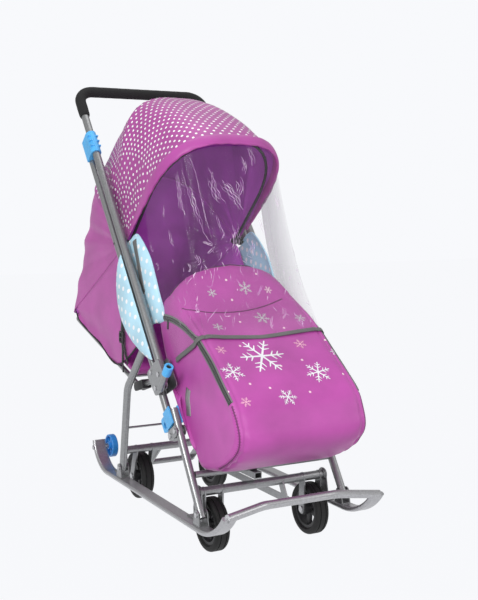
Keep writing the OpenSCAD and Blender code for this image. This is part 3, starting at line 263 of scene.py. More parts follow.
def moulded(name, rgb, rough, grain=900.0, strength=0.08):
    n = Nodes(name)
    wear = n.noise(22.0, 4.0)
    n.into("Base Color", n.tint(wear, rgb, 0.93, 1.05))
    n.into("Roughness", n.math("ADD", n.math("MULTIPLY", wear, 0.1), rough))
    n.bump(n.noise(grain, 2.0), strength)
    return n.material


def film_material():
    """Clear film, with painted haze towards the far side that is seen edge on, standing in for its stronger
    reflection there.
    """
    n = Nodes("clear_film_creased")
    put(n.shader, Base_Color=(0.45, 0.44, 0.48, 1), Roughness=0.12, Specular_IOR_Level=0.8)
    put(n.shader, Coat_Weight=0.5, Coat_Roughness=0.04)
    parts = n.add("ShaderNodeSeparateXYZ")
    n.link(n.coords("UV"), parts.inputs[0])
    painted_edge_haze = n.ramp(parts.outputs["X"], (0.5, 0.5, 0.5, 1), (0.05, 0.05, 0.05, 1), (0.03, 0.2))
    cloud = n.math("MULTIPLY", n.noise(7.0, 4.0), 0.02)
    n.into("Alpha", n.math("ADD", painted_edge_haze, cloud))
    ridge = n.math("ABSOLUTE", n.math("SUBTRACT", n.noise(26.0, 6.0, (3.4, 1.6, 0.5)), 0.5))
    n.bump(ridge, 0.4, 0.004)
    return n.material


def painted_glint_material():
    # Pale, partly clear colour for strips on the film: painted highlight.
    n = Nodes("film_glint")
    put(n.shader, Roughness=0.25, Alpha=0.5)
    colour = n.ramp(n.noise(40.0, 3.0), linear((0.80, 0.62, 0.84)), linear((0.97, 0.90, 0.97)))
    n.into("Base Color", colour)
    return n.material


VIOLET = (0.72, 0.30, 0.645)
SKY = (0.73, 0.89, 0.96)
WHITE = (0.97, 0.97, 0.98)
M = {
    "silver_tube": metal("silver_paint", (0.60, 0.605, 0.61), 0.28),
    # The runners and the front bar take a lighter copy of the tube silver.
    "runner_silver": metal("runner_silver_lighter", (0.70, 0.70, 0.71), 0.26),
    "bright_rivet": metal("bright_rivet_steel", (0.74, 0.74, 0.75), 0.18),
    "tyre_black": moulded("tyre_rubber", (0.022, 0.022, 0.024), 0.62, 500.0, 0.16),
    "black_plastic": moulded("dark_plastic", (0.17, 0.17, 0.18), 0.42),
    "blue_plastic": moulded("blue_plastic_light", (0.33, 0.71, 0.95), 0.32),
    "blue_deep": moulded("blue_plastic_deep", (0.20, 0.55, 0.86), 0.32),
    "foam_black": moulded("foam_skin", (0.10, 0.10, 0.105), 0.82, 1500.0, 0.3),
    "strap_black": cloth("strap_webbing", (0.12, 0.12, 0.13), 0.7, 0.1, 1200.0),
    "violet_cloth": cloth("violet_satin", VIOLET, 0.42, 0.08),
    # The band and the hood take darker copies of the same violet cloth: painted shade.
    "band_cloth": cloth("violet_band_painted_shade", shade(VIOLET, 0.97), 0.42, 0.08),
    "hood_cloth": cloth("hood_violet_painted_shade", shade(VIOLET, 0.93), 0.5, 0.08),
    "dot_white": cloth("printed_dot", WHITE, 0.5, 0.1),
    "sky_cloth": cloth("sky_dotted", SKY, 0.55, 0.2, 700.0, (WHITE, 0.040, 0.012)),
    "sky_plain": cloth("sky_edge", SKY, 0.55, 0.2),
    # The lining is much lighter than the cloth's own dark violet, standing in for light that comes through
    # the canopy into the hood and the cover: painted light.
    "lining": cloth("lining_lifted_painted_light", (0.84, 0.41, 0.87), 0.5, 0.05),
    # Dark violet for the seam tapes and gather bars: painted shade of the seams' grooves.
    "seam_dark": cloth("seam_shadow", (0.44, 0.17, 0.39), 0.6, 0.1),
    "zip_tape": cloth("zip_tape_grey", (0.47, 0.47, 0.47), 0.6, 0.1, 1000.0),
    "tape_grey": cloth("grey_tape", (0.40, 0.40, 0.40), 0.6, 0.1, 1000.0),
    "piping_dark": cloth("dark_piping", (0.30, 0.20, 0.30), 0.55, 0.1),
    "print_white": cloth("print_snow", (0.94, 0.94, 0.96), 0.5, 0.1),
    "print_pale": cloth("print_silver", (0.80, 0.79, 0.81), 0.45, 0.1),
    "print_pink": cloth("print_blush", (0.93, 0.70, 0.80), 0.5, 0.1),
    "print_rose": cloth("print_petal", (0.95, 0.82, 0.88), 0.5, 0.1),
    "reflective": metal("reflective_strip_grey", (0.62, 0.62, 0.62), 0.4),
    "zip_metal": moulded("zip_chain_dark", (0.17, 0.18, 0.18), 0.5),
    "clear_film": film_material(),
    "film_glint": painted_glint_material(),
}


# Mesh helpers
def placed(name, data):
    obj = bpy.data.objects.new(name, data)
    scene.collection.objects.link(obj)
    return obj


def look_from(obj, place, aim):
    obj.location = place
    obj.rotation_euler = (Vector(aim) - Vector(place)).to_track_quat("-Z", "Y").to_euler()


def piece(name, points, faces, material, uvs=None):
    data = bpy.data.meshes.new(name)
    data.from_pydata([world(p) for p in points], [], faces)
    if uvs:
        layer = data.uv_layers.new(name="cloth")
        for loop in data.loops:
            layer.data[loop.index].uv = uvs[loop.vertex_index]
    data.materials.append(M[material])
    for polygon in data.polygons:
        polygon.use_smooth = True
    data.update()
    return placed(name, data)


def grid_faces(rows, cols, start=0, wrap=False):
    faces = []
    for i in range(rows - 1):
        for j in range(cols if wrap else cols - 1):
            a, b = i * cols + j, i * cols + (j + 1) % cols
            faces.append((start + a, start + b, start + b + cols, start + a + cols))
    return faces


def flatten(rows):
    return [p for row in rows for p in row]


def rows_of(rows, cols, at):
    """A grid of points from a function of the shares down and across it."""
    return [[at(i / rows, j / cols) for j in range(cols + 1)] for i in range(rows + 1)]


def capped(rings, start=0):
    """Points and faces of a row of rings, closed at both ends."""
    points = flatten(rings)
    sides = len(rings[0])
    last = start + len(points) - sides
    faces = grid_faces(len(rings), sides, start, True)
    return points, faces + [tuple(range(start + sides - 1, start - 1, -1)), tuple(range(last, last + sides))]


def add_rings(points, faces, rings):
    more, sides = capped(rings, len(points))
    points += more
    faces += sides


def closed_pad(top, low):
    """Points and faces of a pad between two grids, joined round their rims."""
    rows, cols = len(top), len(top[0])
    n = rows * cols
    faces = grid_faces(rows, cols) + [tuple(reversed(f)) for f in grid_faces(rows, cols, n)]
    rim = list(range(cols)) + [cols * i + cols - 1 for i in range(1, rows)]
    rim += [n - cols + j for j in range(cols - 2, -1, -1)] + [cols * i for i in range(rows - 2, 0, -1)]
    faces += [(a, n + a, n + b, b) for a, b in zip(rim, rim[1:] + rim[:1])]
    return flatten(top + low), faces


def ribbon(first, count):
    """Faces along pairs of points."""
    return [(a, a + 1, a + 3, a + 2) for a in range(first, first + 2 * count, 2)]


def disc(first):
    """Faces of a round patch, a middle point and twelve round it."""
    return [(first, first + 1 + k, first + 1 + (k + 1) % 12) for k in range(12)]


def grid(name, rows, material, uvs=None):
    return piece(name, flatten(rows), grid_faces(len(rows), len(rows[0])), material, uvs)


def face_out(obj, centre):
    """Turns the mesh so that its faces look away from a point."""
    c = world(centre)
    facing = sum((f.center - c).dot(f.normal) * f.area for f in obj.data.polygons)
    if facing < 0:
        obj.data.flip_normals()
    return obj


def turned_out(points, faces, centre):
    """The faces, each in the order that looks away from a point."""
    c = Vector(centre)
    out = []
    for f in faces:
        a, b, d = (Vector(points[i]) for i in f[:3])
        out.append(f if (b - a).cross(d - a).dot(a - c) >= 0 else tuple(reversed(f)))
    return out


def thicken(obj, mm, offset=-1.0, lining=None, even=True):
    m = obj.modifiers.new("thickness", "SOLIDIFY")
    if lining:
        obj.data.materials.append(M[lining])
        m.material_offset = 1
    m.thickness = mm * 0.001
    m.offset = offset
    m.use_even_offset = even
    return obj


def soften(obj):
    m = obj.modifiers.new("soft", "SUBSURF")
    m.levels = m.render_levels = 1
    return obj


def built(obj):
    """The piece with its modifiers done."""
    graph = bpy.context.evaluated_depsgraph_get()
    graph.update()
    return obj.evaluated_get(graph)


def settle(obj):
    """Puts the modifiers' result into the mesh."""
    data = bpy.data.meshes.new_from_object(built(obj))
    obj.modifiers.clear()
    obj.data = data
    return obj


def run_length(points):
    return sum(math.dist(p, q) for p, q in zip(points, points[1:]))


def heading(points, i):
    """The direction of a line of points at one of them."""
    return Vector(points[min(i + 1, len(points) - 1)]) - Vector(points[max(i - 1, 0)])


def resample(points, count):
    """Points at even steps along a line of points of any size."""
    run = [0.0]
    for p, q in zip(points, points[1:]):
        run.append(run[-1] + math.dist(p, q))
    out, k = [], 0
    for i in range(count):
        want = run[-1] * i / (count - 1)
        while k < len(points) - 2 and run[k + 1] < want:
            k += 1
        step = run[k + 1] - run[k]
        out.append(mix(points[k], points[k + 1], (want - run[k]) / step if step else 0.0))
    return out


def curve(points, count):
    """A smooth curve through the points, at even steps."""
    fine = []
    ends = [points[0]] + list(points) + [points[-1]]
    for i in range(1, len(ends) - 2):
        p0, p1, p2, p3 = ends[i - 1:i + 3]
        for k in range(12):
            t = k / 12
            fine.append(tuple(0.5 * (2 * b + (c - a) * t + (2 * a - 5 * b + 4 * c - d) * t * t
                                     + (3 * b - a - 3 * c + d) * t ** 3)
                              for a, b, c, d in zip(p0, p1, p2, p3)))
    fine.append(tuple(points[-1]))
    return resample(fine, count)


def tube(name, path, radius, material, sides):
    """A tube along points in millimetres; radius is a number or a function of the share along it."""
    rings, normal = [], None
    turns = [360 * k / sides for k in range(sides)]
    for i, p in enumerate(path):
        t = heading(path, i).normalized()
        if normal is None:
            normal = t.orthogonal().normalized()
        normal = (normal - t * normal.dot(t)).normalized()
        side = t.cross(normal)
        r = radius(i / (len(path) - 1)) if callable(radius) else radius
        rings.append([tuple(Vector(p) + normal * r * cosd(a) + side * r * sind(a)) for a in turns])
    return piece(name, *capped(rings), material)


def bvh(obj):
    """A search tree of a piece, for laying other pieces on it."""
    done = built(obj)
    data = done.to_mesh()
    data.transform(obj.matrix_world)
    whole = bmesh.new()
    whole.from_mesh(data)
    done.to_mesh_clear()
    tree = BVHTree.FromBMesh(whole)
    whole.free()
    return tree


# Camera at the photograph's viewing angle
LENS_PX = 1030.55
IMAGE = (478, 600)
EYE = Vector((-1.2449, -2.5294, 0.8521))
AIM = Vector((0.0, -0.2259, 0.59665))
camera_data = bpy.data.cameras.new("camera")
camera_data.sensor_width = 36
camera_data.lens = LENS_PX * 36 / IMAGE[1]
camera_data.clip_end = 50
camera = placed("camera", camera_data)
look_from(camera, EYE, AIM)
scene.camera = camera


def sight(u, v):
    ahead = (AIM - EYE).normalized()
    right = ahead.cross(Vector((0, 0, 1))).normalized()
    up = right.cross(ahead)
    return (ahead * LENS_PX + right * (u - IMAGE[0] / 2) - up * (v - IMAGE[1] / 2)).normalized()


def back_mm(spot):
    """A place in the frame as millimetres, unshifted."""
    return (spot.x * 1000, spot.y * 1000 - Y_SHIFT, spot.z * 1000)


def seen_on(tree, pixels):
    """Where the sight lines of image places meet a piece, in millimetres, unshifted."""
    spots = [tree.ray_cast(EYE, sight(u, v))[0] for u, v in pixels]
    return [back_mm(spot) for spot in spots if spot is not None]


def laid(tree, p, lift):
    """The nearest place on a piece, lifted off it, with the direction that it faces."""
    spot, n = tree.find_nearest(world(p))[:2]
    return spot + n * lift * 0.001, n


def set_on(tree, p, lift):
    """The same place in millimetres, unshifted."""
    return back_mm(laid(tree, p, lift)[0])


TAPE_CROWN = 0.3


def tape(name, tree, path, width, thick, material, count=60, lift=0.2):
    """A flat tape sewn on a piece along a path, following its surface across its width."""
    pts = curve(path, count)
    rings = []
    for i, p in enumerate(pts):
        base, n = laid(tree, p, 0)
        side = n.cross(heading(pts, i).normalized()).normalized()
        top, low = [], []
        for k in range(5):
            w = (k / 4 - 0.5) * width
            spot, m = laid(tree, Vector(back_mm(base)) + side * w, 0)
            crown = thick * (1 + TAPE_CROWN * (1 - (2 * k / 4 - 1) ** 2))
            top.append(back_mm(spot + m * (lift + crown) * 0.001))
            low.append(back_mm(spot + m * (lift - thick) * 0.001))
        rings.append(top + low[::-1])
    return piece(name, *capped(rings), material)


BAR_OUTLINE = ((-1, -0.5), (-0.6, -1), (0.6, -1), (1, -0.5), (1, 0.5), (0.6, 1), (-0.6, 1), (-1, 0.5))
BAR_LEVELS = ((-1, 1.0), (0.4, 1.0), (1, 0.55))


def bars(name, spots, size, material):
    """Many small rounded bars, each at (place, along, normal), joined in one piece."""
    length, width, height = (s * 0.0005 for s in size)
    points, faces = [], []
    for place, along, n in spots:
        along = Vector(along).normalized()
        n = Vector(n).normalized()
        side = n.cross(along).normalized()
        rings = [[back_mm(place + along * length * x * k + side * width * y * k + n * height * z)
                  for x, y in BAR_OUTLINE] for z, k in BAR_LEVELS]
        add_rings(points, faces, rings)
    return piece(name, points, faces, material)


def stitches(name, tree, path, material, step, size, lift):
    """A row of small bars across or along a path on a piece."""
    pts = curve(path, max(3, int(run_length(path) / step)))
    spots = []
    for p, q in zip(pts, pts[1:]):
        spot, n = laid(tree, mix(p, q, 0.5), lift)
        spots.append((spot, Vector(q) - Vector(p), n))
    return bars(name, spots, size, material)


SIDES = ((1, "left"), (-1, "right"))


def flip_x(path):
    return [(-x, y, z) for x, y, z in path]


def finish_piece(obj, body, slot, *replaced):
    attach(obj, body)
    if replaced:
        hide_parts(*replaced)


# CAD nodes that stay, with their own materials
def paint(name, key):
    nodes[name].data.materials.clear()
    nodes[name].data.materials.append(M[key])


for entry in frame["record"]["subparts"]:
    if entry["material_slot"] in M:
        paint(entry["node"], entry["material_slot"])
for name in ("runner_left", "runner_right", "front_bar"):
    paint(name, "runner_silver")
for name in ("transport_wheel_left", "transport_wheel_right"):
    paint(name, "blue_deep")

# Hood: one canopy over both of its frames, gathered towards the pivots
HOOD_HALF = 175.4
HOOD_R = 407.4
SIDE_R = 170
ARCH_N = 2 / 2.9
START_R = 14
REAR_A = 28
FRONT_A = 139
RIB_A = (REAR_A, 84, FRONT_A)
HOOD_COLS = 120
HOOD_STEPS = 88
HOOD_AXIS = (0,) + HOOD
CHORD_SAG = 25
PROFILE = resample([(START_R, HOOD_HALF), (SIDE_R, HOOD_HALF)]
                   + [(SIDE_R + (HOOD_R - SIDE_R) * sind(a) ** ARCH_N, HOOD_HALF * power(cosd(a), ARCH_N))
                      for a in range(1, 180)]
                   + [(SIDE_R, -HOOD_HALF), (START_R, -HOOD_HALF)], HOOD_COLS + 1)


def hood_point(share, angle, lift=0.0):
    """A place on the canopy: a share along its arch and an angle about its pivots."""
    i = min(int(share * HOOD_COLS), HOOD_COLS - 1)
    r, x = mix(PROFILE[i], PROFILE[i + 1], share * HOOD_COLS - i)
    (r0, x0), (r1, x1) = PROFILE[max(i - 1, 0)], PROFILE[min(i + 2, HOOD_COLS)]
    d = math.dist((r0, x0), (r1, x1))
    out_r, out_x = (x0 - x1) / d, (r1 - r0) / d
    k = 0 if angle < RIB_A[1] else 1
    between = clamp((angle - RIB_A[k]) / (RIB_A[k + 1] - RIB_A[k]))
    high = clamp((r - SIDE_R) / (HOOD_R - SIDE_R))
    low = min(r / SIDE_R, 1)
    sag = (CHORD_SAG * high + 2.0 * low) * 4 * between * (1 - between)
    gather = (1 - high) * low * 1.8 * sind(angle * 17 + 40 * share) * sind(180 * between)
    wrinkle = 1.6 * low * waver(x * 0.012, angle * 0.11, r * 0.02)
    off = lift - sag - gather - wrinkle
    r += out_r * off
    x += out_x * off
    return (x,) + polar(HOOD, r, angle)


HOOD_ROWS = rows_of(HOOD_STEPS, HOOD_COLS, lambda t, share: hood_point(share, lerp(REAR_A, FRONT_A, t)))
canopy = face_out(grid("hood_canopy", HOOD_ROWS, "hood_cloth"), HOOD_AXIS)
settle(thicken(canopy, 1.6, lining="lining", even=False))

# Printed dots in columns, with fewer columns towards the pivots
HOOD_MID = (REAR_A + FRONT_A) / 2
COLUMN_STEP, DOT_STEP, DOT_R, DOT_LIFT = 2.1, 26.0, 3.9, 0.35
DOT_LEVELS = ((1, 235, 999), (2, 118, 235), (4, 40, 118))
PROFILE_LEN = run_length(PROFILE)
dot_points, dot_faces = [], []
for i in range(-27, 28):
    angle = HOOD_MID + i * COLUMN_STEP
    if not REAR_A + 1.2 < angle < FRONT_A - 2.4:
        continue
    for j in range(-24, 25):
        for level, low, high in DOT_LEVELS:
            share = 0.5 + (j + (i // level) % 2 / 2) * DOT_STEP / PROFILE_LEN
            if i % level or not 0 < share < 1:
                continue
            r = PROFILE[min(int(share * HOOD_COLS), HOOD_COLS)][0]
            if not low < r <= high:
                continue
            dot_faces += disc(len(dot_points))
            dot_points.append(hood_point(share, angle, DOT_LIFT))
            for k in range(12):
                dot_points.append(hood_point(share + DOT_R * cosd(30 * k) / PROFILE_LEN,
                                             angle + math.degrees(DOT_R * sind(30 * k) / r), DOT_LIFT))
dots = face_out(piece("hood_dots", dot_points, dot_faces, "dot_white"), HOOD_AXIS)

# The puffy band along the hood's front edge
BAND_A = 138.4
BAND_REACH = 16.5
BAND_T = 6.0
BAND_LIFT = 2.5
BAND_SIDES = 20
BAND_CLEAR = 48
band_path = [hood_point(k / 130, BAND_A) for k in range(131)]
band_path = [p for p in band_path if math.dist(p[1:], HOOD) > BAND_CLEAR]
band_rings = []
for i, p in enumerate(band_path):
    t = heading(band_path, i).normalized()
    ahead = Vector((0, cosd(BAND_A + 90), sind(BAND_A + 90)))
    out = t.cross(ahead).normalized()
    if out.dot(Vector(p) - Vector(HOOD_AXIS)) < 0:
        out = -out
    end = min(i, len(band_path) - 1 - i) / 20
    swell = min(1.0, 0.42 + 0.58 * end)
    ring = []
    for k in range(BAND_SIDES):
        c, s = cosd(360 * k / BAND_SIDES), sind(360 * k / BAND_SIDES)
        pucker = 1 + 0.05 * waver(i * 0.4, k * 0.3, 3.0)
        pucker += 0.07 * sind(i * 67 + 40 * sind(i * 23)) * max(abs(c) - 0.55, 0) / 0.45
        ring.append(tuple(Vector(p) + ahead * power(c, 0.8) * BAND_REACH * swell * pucker
                          + out * (power(s, 0.8) * BAND_T * swell * pucker + BAND_LIFT)))
    band_rings.append(ring)
band = soften(piece("hood_band", *capped(band_rings), "band_cloth"))

for obj in (canopy, dots):
    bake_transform(obj)
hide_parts("hood_rear", "hood_front")
finish_piece(band, "hood_front_frame", "violet_cloth")

# Back cover: from under the hood's rear edge to the backrest's far end, with its side gussets
COVER_HALF = 176.0
COVER_TIP = (TIP[0] + 11.5, TIP[1])
HOOD_EDGE = polar(HOOD, 404, REAR_A - 0.4)
COVER_COLS = 60
COVER_ROWS = 36
COVER_LAP = 2.0
GUSSET_COLS = 40
GUSSET_ROWS = 20
SIDE_SHARE = 0.16


def cover_point(t, k):
    """A place on the cover: t runs from the hood to the far end, k along its arch.

    Below 0, t laps under the hood.
    """
    under = 5 if t < 0 else 0
    lap = COVER_LAP if t < 0 else 0
    t = max(t, 0)
    bulge = 3 * sind(180 * t)
    apex = (lerp(HOOD_EDGE[0], COVER_TIP[0], t) + bulge, lerp(HOOD_EDGE[1], COVER_TIP[1], t) + bulge * 0.2)
    r = math.dist(HOOD, apex) - under
    a = bearing(HOOD, apex) + lap
    n = lerp(2.9, 5, t)
    side = lerp(SIDE_R - under, 0.88 * r, t)
    half = lerp(173.2, COVER_HALF, min(1, 2 * t)) - under * 0.08
    if k <= SIDE_SHARE or k >= 1 - SIDE_SHARE:
        share = k / SIDE_SHARE if k < 0.5 else (1 - k) / SIDE_SHARE
        reach, x = lerp(START_R, side, share), math.copysign(half, 0.5 - k)
    else:
        b = 180 * (k - SIDE_SHARE) / (1 - 2 * SIDE_SHARE)
        x = half * power(cosd(b), 2 / n)
        reach = side + (r - side) * abs(sind(b)) ** (2 / n)
    far = reach / r
    fold = sind(180 * t) * far * (7.0 + 5.0 * math.sin(19 * t + 2.4 * far) + 2.6 * math.sin(37 * t + 1.0))
    fold += 1.2 * waver(x * 0.012, reach * 0.008, t * 7)
    flatness = abs(x) / half
    x -= math.copysign(max(fold, 0) * flatness, x)
    return (x,) + polar(HOOD, reach - (1 - flatness) * max(fold, 0), a)


cover_rows = [[cover_point(i / COVER_ROWS, j / COVER_COLS) for j in range(COVER_COLS + 1)]
              for i in range(-1, COVER_ROWS + 1)]
TIP_A = bearing(HOOD, COVER_TIP)
TIP_R = math.dist(HOOD, COVER_TIP)
GUSSET_EDGE = curve([upright_at(560, -12), upright_at(430, -13), upright_at(330, -14),
                     back_at(0.24 * BACK_LEN, 10), back_at(0.55 * BACK_LEN, 8), back_at(0.86 * BACK_LEN, 8),
                     polar(HOOD, 0.9 * TIP_R, TIP_A)], GUSSET_COLS + 1)


def gusset_point(side, t, share):
    """A place on a gusset: t runs from the cover's end to its lower edge, a share along them."""
    j = round(share * GUSSET_COLS)
    k = SIDE_SHARE * share
    p = cover_point(1, k if side > 0 else 1 - k)
    y, z = mix(p[1:], GUSSET_EDGE[j], t)
    deep = sind(180 * t) * (2.6 + 2.2 * math.sin(8 * t + j * 0.05))
    pinch = 2.4 * t ** 3 * max(math.sin(j * 1.1), 0)
    slack = 1.0 * t * waver(y * 0.02, z * 0.02, side)
    return (lerp(p[0], side * COVER_HALF, t) - side * (0.4 + abs(deep + slack) + pinch), y, z)


parts = [cover_rows]
parts += [rows_of(GUSSET_ROWS, GUSSET_COLS, lambda t, share: gusset_point(side, t, share))
          for side in (1, -1)]
points, faces = [], []
for rows in parts:
    faces += grid_faces(len(rows), len(rows[0]), len(points))
    points += flatten(rows)
faces = turned_out(points, faces, (0, HOOD[0] + 120, HOOD[1] - 120))
cover = piece("back_cover_cloth", points, faces, "violet_cloth")
settle(thicken(cover, 1.4, lining="lining", even=False))
edge_points = [(COVER_HALF - 1,) + p for p in GUSSET_EDGE[14:]]
trims = []
for side, word in SIDES:
    path = [(side * x, y, z) for x, y, z in edge_points]
    trims.append(tube("cover_piping_" + word, path, 2.4, "strap_black", 8))
for obj in [cover] + trims:
    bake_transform(obj)
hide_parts("back_cover")

# Inner side walls, each with a rolled front edge and a sewn tape
WALL_LOW, WALL_TOP, WALL_X = 322, 578, 181.6
WALL_REAR = -30
WALL_ROLL = 7.0
ROLL_FROM = 0.72
WALL_STEPS = 40
WALL_COLS = 16
WALL_EDGE = curve([(308, 34), (292, 58), (288, 90), (364, 98), (457, 109), (546, 86), (566, 58), (568, 26)],
                  WALL_STEPS + 1)
TAPE_RUN = [(548, 66), (491, 53), (418, 34), (345, 32)]


def dotted(p):
    """Where a place lies in the dot print."""
    return ((p[1] * 0.6 + p[2] * 0.8) * 0.001, (p[2] * 0.6 - p[1] * 0.8) * 0.001)


def wall_point(side, share, t):
    """A place on a wall: a share of its height, and t from its rear edge to its rolled front one."""
    along, ahead = WALL_EDGE[round(share * WALL_STEPS)]
    a = lerp(lerp(WALL_LOW, WALL_TOP, share), along, t)
    h = lerp(WALL_REAR, ahead, t)
    roll = WALL_ROLL * (max(t - ROLL_FROM, 0) / (1 - ROLL_FROM)) ** 2
    puff = 0.6 * waver(a * 0.02, h * 0.03, side)
    return (side * (WALL_X + puff - roll),) + upright_at(a, h)


for side, word in SIDES[::-1]:
    rows = rows_of(WALL_STEPS, WALL_COLS, lambda share, t: wall_point(side, share, t))
    wall = grid("side_wall_" + word, rows, "sky_cloth", [dotted(p) for p in flatten(rows)])
    face_out(wall, (-side * 400, 0, 600))
    settle(thicken(wall, 1.6, 0.0))
    edge = tube("wall_edge_" + word, [row[-1] for row in rows], 2.4, "sky_plain", 10)
    tape_path = [(side * WALL_X,) + upright_at(*place) for place in TAPE_RUN]
    binding = tape("wall_tape_" + word, bvh(wall), tape_path, 20, 0.8, "tape_grey")
    for obj, slot in ((wall, "sky_cloth"), (edge, "sky_cloth"), (binding, "strap_black")):
        finish_piece(obj, "upright", slot)
    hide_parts("side_walls")

# Padded wings outside the uprights
WING_X = 210.4
WING_CROWN = 9.4
WING_ROWS = 32
WING_COLS = 16


def wing_place(u, v):
    rear = 23 - 107 * sind(180 * v ** 1.35) ** 0.62
    return lerp(204, 534, v), lerp(23, rear - 2.5, u)


def wing_point(side, v, u):
    """A place on a wing's crowned outer face."""
    along, ahead = wing_place(u, v)
    crown = max(sind(180 * u), 0) ** 0.55 * max(sind(180 * v), 0) ** 0.4
    pucker = 0.4 * (1 - crown) * sind(v * WING_ROWS * 83)
    pucker += 0.3 * waver(along * 0.03, ahead * 0.04, side)
    return (side * (WING_X + 1.2 + WING_CROWN * crown + pucker),) + upright_at(along, ahead)


for side, word in SIDES:
    top = rows_of(WING_ROWS, WING_COLS, lambda v, u: wing_point(side, v, u))
    low = [[(side * (WING_X - 0.2), y, z) for x, y, z in row] for row in top]
    points, faces = closed_pad(top, low)
    wing = piece("side_wing_" + word + "_pad", points, faces, "sky_cloth", [dotted(p) for p in points])
    soften(face_out(wing, (side * 205, 0, 600)))
    finish_piece(wing, "upright", "sky_cloth", "side_wing_" + word)

# Footmuff: a padded boot with side panels, a front panel and a domed flap
MUFF_REAR = -68
MUFF_LEN = 392
MUFF_LOW = 204.4
MUFF_H = 382
MUFF_HALF = 177
MUFF_SIDE = MUFF_HALF * 0.995
CORNER_AT = 0.9
DOME_RISE = 125
EAR_REACH = 80
MUFF_RING = [(0.05, 0.48), (0.2, 0.335), (0.36, 0.14), (0.47, 0), (0.6, 0.006), (0.74, 0.045), (0.91, 0.15),
             (1, 0.275), (0.975, 0.39), (0.92, 0.5), (0.79, 0.62), (0.65, 0.73), (0.45, 0.87), (0.26, 0.97),
             (0.11, 1), (0.03, 0.96)]
REAR_EDGE = [(0.02, 0.56, 0.1), (0.02, 0.7, 0.6)]
DOME_SHARES = [0] * 13 + [0.08, 0.6, 1]
EAR_SHARES = [0] * 14 + [0.2, 1]
SAG_SHARES = [0] * 6 + [0.1, 0.3, 0.5, 0.7, 0.9, 1, 1, 0.8, 0, 0]
STATIONS = [(-1, 1), (-0.97, 0.45), (-0.88, 0.12), (-0.66, 0), (-0.34, 0), (0, 0), (0.34, 0), (0.66, 0),
            (0.88, 0.12), (0.97, 0.45), (1, 1)]
MUFF_ROUND = 24
MUFF_MID = (MUFF_REAR - MUFF_LEN / 2, MUFF_LOW + MUFF_H / 2)
MUFF_CENTRE = (0,) + MUFF_MID
MUFF_COLS = 84
SKIN = 1.5


def pulled_in(p, inset):
    return mix(p, MUFF_MID, inset / math.dist(p, MUFF_MID))


def muff_ring(share, inset):
    dome = DOME_RISE * max(1 - abs(share) ** 2.8, 0) ** 0.75
    sag = 16 * cosd(90 * share)
    ear = EAR_REACH * abs(share) ** 8
    out = []
    for (a, b), d, s, e in zip(MUFF_RING, DOME_SHARES, SAG_SHARES, EAR_SHARES):
        p = (MUFF_REAR - a * MUFF_LEN + ear * e, MUFF_LOW + b * MUFF_H + dome * d - sag * s)
        out.append(pulled_in(p, inset))
    return curve(out, MUFF_COLS + 1)


def muff_rows():
    rows = []
    for share, inset in curve([(s, MUFF_ROUND * i) for s, i in STATIONS], 65):
        row = []
        for j, (y, z) in enumerate(muff_ring(share, inset + SKIN)):
            k = j / MUFF_COLS
            away = abs(abs(share) - CORNER_AT)
            seam = -3.4 * math.exp(-(away / 0.025) ** 2) * (1 if k > 0.3 else 0.4)
            gather = 2.6 * math.exp(-(away / 0.07) ** 2) * sind(j * 97)
            gather *= math.exp(-((k - 0.4) / 0.13) ** 2)
            soft = 3.4 * waver(share * 2.2, k * 6, 1.0) * (1 - abs(share) ** 6)
            fine = 1.0 * waver(share * 6, k * 15, 4.0) * (1 - abs(share) ** 6)
            p = pulled_in((y, z), -(seam + gather + soft + fine))
            row.append((share * MUFF_SIDE, p[0], p[1]))
        rows.append(row)
    for side in (-1, 1):
        edge = rows[0] if side < 0 else rows[-1]
        rear = [(MUFF_REAR - a * MUFF_LEN + EAR_REACH * e, MUFF_LOW + b * MUFF_H) for a, b, e in REAR_EDGE]
        rear = [pulled_in(p, MUFF_ROUND + SKIN) for p in rear]
        rear = curve([edge[0][1:]] + rear + [edge[-1][1:]], MUFF_COLS + 1)
        panel = []
        for i in range(1, 19):
            f = 1 - i / 18
            row = []
            for p, q in zip(edge, rear):
                y, z = mix(q, p[1:], f)
                puff = 1.6 * sind(180 * f) + 1.6 * waver(y * 0.012, z * 0.012, side)
                row.append((side * (MUFF_SIDE - 1.2 + min(puff, 1.6)), y, z))
            panel.append(row)
        rows = panel[::-1] + rows if side < 0 else rows + panel
    return rows


MUFF_ROWS = muff_rows()
muff = face_out(grid("footmuff_shell", MUFF_ROWS, "violet_cloth"), MUFF_CENTRE)
settle(thicken(muff, 9.0, even=False))
settle(soften(muff))
finish_piece(muff, "upright", "violet_cloth", "footmuff")
muff_tree = bvh(muff)
skin_points = flatten(MUFF_ROWS)
skin_faces = turned_out(skin_points, grid_faces(len(MUFF_ROWS), MUFF_COLS + 1), MUFF_CENTRE)
skin_tree = BVHTree.FromPolygons([world(p) for p in skin_points], skin_faces)

# Piping round the flap's top, its fold seam, and the corner seams. The fold and corner seam tapes and the
# small bars across the corner seams are dark with painted shade of their grooves and gathers.
flap_edge = [row[-1] for row in MUFF_ROWS if abs(row[-1][0]) < CORNER_AT * MUFF_HALF]
flap_edge = [set_on(muff_tree, p, 0.4) for p in curve(flap_edge[::3], 121)]
piping = tube("flap_piping", flap_edge, 1.5, "piping_dark", 10)
FOLD_SPOTS = [(182, 308.5), (190, 310), (209, 312.5), (228, 312.5), (247, 310.5), (265, 306), (282, 299)]
CORNER_SPOTS = [(232, 406), (236.5, 421), (239.5, 437), (238.5, 450), (231, 461), (219, 469), (206, 474)]
ZIP_SPOTS = [(157, 316.5), (164, 317.5), (172, 319.5), (181, 325), (190, 333), (197, 340.5), (203, 350),
             (210, 362), (216, 374), (222, 387), (227, 397), (230.5, 404)]
PULL_SPOTS = [(168.6, 318.5), (168.4, 324), (168.2, 329)]
STRIP_SPOTS = [(188.6, 389), (187.6, 398), (188.4, 407), (188.8, 416)]
